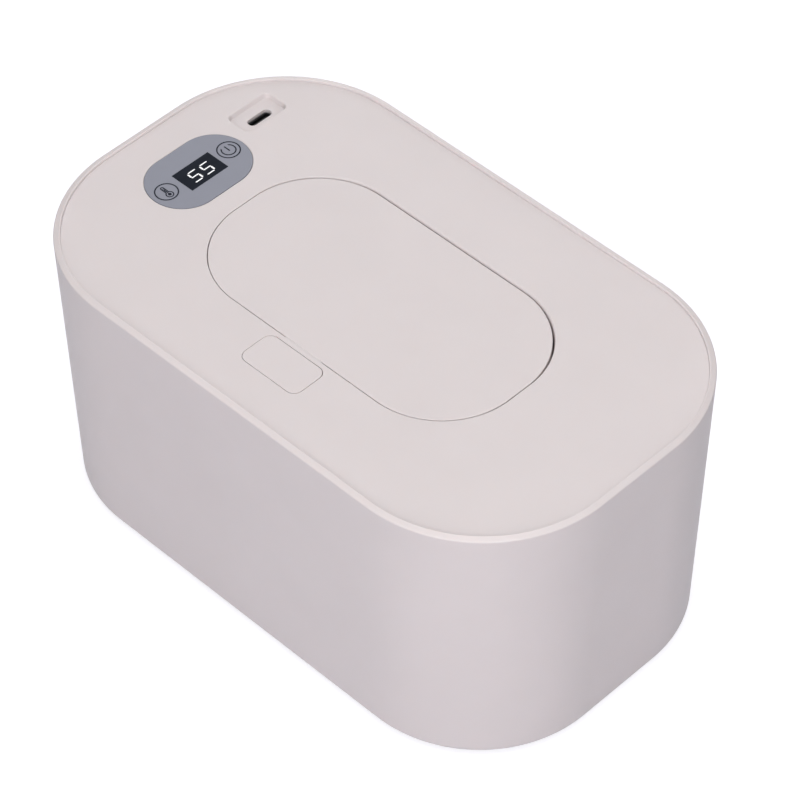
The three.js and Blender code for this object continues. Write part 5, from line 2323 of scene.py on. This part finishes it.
    def build_screws(self) -> None:
        """Builds the screws of the lid and those of the board."""
        Screw().build_row("lid_fastener", "lid_screw", self.screw_places, self.screw_z)
        Screw().build_row("board_fastener", "board_screw", self.board_places, self.board_screw_z)


@dataclass(frozen=True)
class Heater:
    """The heating plate with its film and sensors; its wires are not built here."""

    plate: Outline = Outline(0.0, 0.0, 185.0, 99.3, 33.6)
    plate_z: Point = (81.7, 83.2)
    plate_round: float = 0.8
    film_inset: float = 2.0
    film_z: Point = (83.5, 84.3)
    opening: Outline = Outline(-0.3, 0.0, 84.0, 38.0, 19.0)
    sensor: Triple = (7.0, 4.0, 1.0)
    sensor_round: float = 0.3
    sensor_z: Point = (84.6, 86.6)
    sensor_names: tuple[str, str] = ("temperature_sensor", "thermal_cutout")

    def build(self, inside: LidInside) -> None:
        """Builds the plate, the film and the sensors.

        Args:
            inside: The housing, for the places of screws and sensors.
        """
        low, high = self.plate_z
        plate = Piece.slab("heat_plate", self.plate, low + self.plate_round, high, 36)
        plate.follow(Side.BOTTOM, rounded_foot(self.plate_round, low, 5))
        film = Piece.slab("heat_film", self.plate.grown(-self.film_inset), *self.film_z, 36)
        under, over = low - PAST, self.film_z[1] + PAST
        for piece in (plate, film):
            piece.cut(Piece.slab("opening", self.opening, under, over, 24),
                      *inside.screw_holes(under, over))
        plate.smoothed().dressed("lid", "aluminium", "heating_plate")
        film.smoothed().dressed("lid", "film", "heating_film")
        for name, (x, y) in zip(self.sensor_names, inside.sensor_places):
            body = Piece.slab(f"{name}_body", Outline(x, y, *self.sensor), *self.sensor_z, 8)
            body.bevel_edges(lambda edge: is_flat_rim(edge, self.sensor_z[1]),
                             self.sensor_round, 3)
            body.smoothed().dressed("lid", "dark_plastic", name)


@dataclass(frozen=True)
class PhotoCamera:
    """A camera at the photograph's viewing angle."""

    azimuth: float = 0.7873142848
    elevation: float = 0.8138195677
    roll: float = -0.0104503897
    distance: float = 1219.7808
    right: float = 1.25937
    up: float = 33.5671
    lift: float = 0.8
    lens: float = 168.06
    shift: Point = (0.019698, 0.017247)
    sensor: float = 36.0
    clip: Point = (0.01, 20.0)

    def build(self) -> None:
        """Adds the camera and makes it the scene's own."""
        lean = math.pi / 2 - self.elevation
        level = Matrix.Rotation(self.azimuth, 3, "Z") @ Matrix.Rotation(lean, 3, "X")
        place = level @ Vector((self.right, self.up, self.distance))
        place.z += self.lift
        turn = level @ Matrix.Rotation(self.roll, 3, "Z")
        data = bpy.data.cameras.new("photo_camera")
        data.lens = self.lens
        data.sensor_width = self.sensor
        data.shift_x, data.shift_y = self.shift
        data.clip_start, data.clip_end = self.clip
        camera = bpy.data.objects.new("photo_camera", data)
        camera.matrix_world = Matrix.Translation(place * MM) @ turn.to_4x4()
        bpy.context.scene.collection.objects.link(camera)
        bpy.context.scene.camera = camera


@dataclass(frozen=True)
class SoftBox:
    """One large soft lamp aimed at the object."""

    name: str
    place: Triple
    size: float
    power: float
    aim: Triple = (0.0, 0.0, 0.05)

    def build(self) -> None:
        """Adds the lamp."""
        data = bpy.data.lights.new(self.name, "AREA")
        data.shape = "SQUARE"
        data.size = self.size
        data.energy = self.power
        lamp = bpy.data.objects.new(self.name, data)
        away = Vector(self.place) - Vector(self.aim)
        lamp.matrix_world = Matrix.Translation(Vector(self.place)) @ away.to_track_quat(
            "Z", "Y"
        ).to_matrix().to_4x4()
        bpy.context.scene.collection.objects.link(lamp)


@dataclass(frozen=True)
class Studio:
    """Plain pale floor, even surroundings and soft lamps."""

    floor_half: float = 3000.0
    floor_border: float = 40.0
    floor_z: Point = (-4.0, -0.02)
    floor_grain: float = 30.0
    floor_tones: tuple[Colour, Colour] = ((0.405, 0.4, 0.46), (0.445, 0.44, 0.5))
    floor_roughness: float = 0.85
    floor_glow: float = 0.72
    surroundings: float = 0.18
    lamps: tuple[SoftBox, ...] = (
        SoftBox("top_light", (0.15, -0.1, 1.3), 0.9, 8.8),
        SoftBox("front_light", (0.66, -0.84, 0.5), 0.9, 8.15),
        SoftBox("back_light", (-0.7, 0.85, 0.5), 0.7, 3.5),
    )

    @staticmethod
    def seen_directly(desk: ShaderDesk) -> Wire:
        """Returns 1 for rays of the camera, of reflections and of clear materials."""
        camera, glossy, clear = (
            desk.node("ShaderNodeLightPath", out=f"Is {kind} Ray")
            for kind in ("Camera", "Glossy", "Transmission")
        )
        return desk.node("ShaderNodeMath", {"operation": "MINIMUM"},
                         {0: camera + glossy + clear, 1: 1.0})

    def build_floor(self) -> None:
        """Adds the floor: pale, with a glow of its own for the camera that keeps the shadow."""
        half, border = self.floor_half, self.floor_border
        low, high = self.floor_z
        floor = Piece.centred("studio_floor", 0.0, half, (-half, half), (low, high))
        floor.follow(Side.TOP, [(0.0, high), (border, high)])
        desk = MaterialDesk("pale_floor")
        tone = desk.mixed(desk.noise(self.floor_grain), *self.floor_tones)
        floor.obj.data.materials.append(desk.surface({
            "Base Color": tone,
            "Roughness": self.floor_roughness,
            "Emission Color": desk.mixed(self.seen_directly(desk), BLACK, WHITE),
            "Emission Strength": self.floor_glow,
        }))

    def build_world(self) -> None:
        """Gives the scene even light and a white background."""
        world = bpy.data.worlds.new("studio_world")
        desk = ShaderDesk(world, "ShaderNodeOutputWorld")
        direct = self.seen_directly(desk)
        level = self.surroundings + direct * (1.0 - self.surroundings)
        desk.put_out(desk.node("ShaderNodeBackground", None, {"Color": WHITE, "Strength": level}))
        bpy.context.scene.world = world

    def build(self) -> None:
        """Builds the studio."""
        bpy.context.scene.view_settings.view_transform = "Standard"
        self.build_floor()
        self.build_world()
        for lamp in self.lamps:
            lamp.build()


def dress_nodes() -> None:
    """Gives every carried-over node the finish of its slot."""
    for row in frame["record"]["subparts"]:
        node = frame["nodes"][row["node"]]
        node.data.materials.clear()
        node.data.materials.append(SLOT_FINISHES[row["material_slot"]].material())


def main() -> None:
    """Builds the camera, the studio and every piece in order."""
    PhotoCamera().build()
    Studio().build()
    dress_nodes()
    hinge, cover, inside = Hinge(), LidCover(), LidInside()
    Tub().build()
    cover.build(hinge)
    FlapDoor().build(hinge, cover.mouth)
    hinge.build_pins()
    hinge.build_springs()
    PushButton().build()
    Latch().build()
    ControlPanel().build()
    UsbInlet().build()
    inside.build()
    Heater().build(inside)


if __name__ == "__main__":
    main()
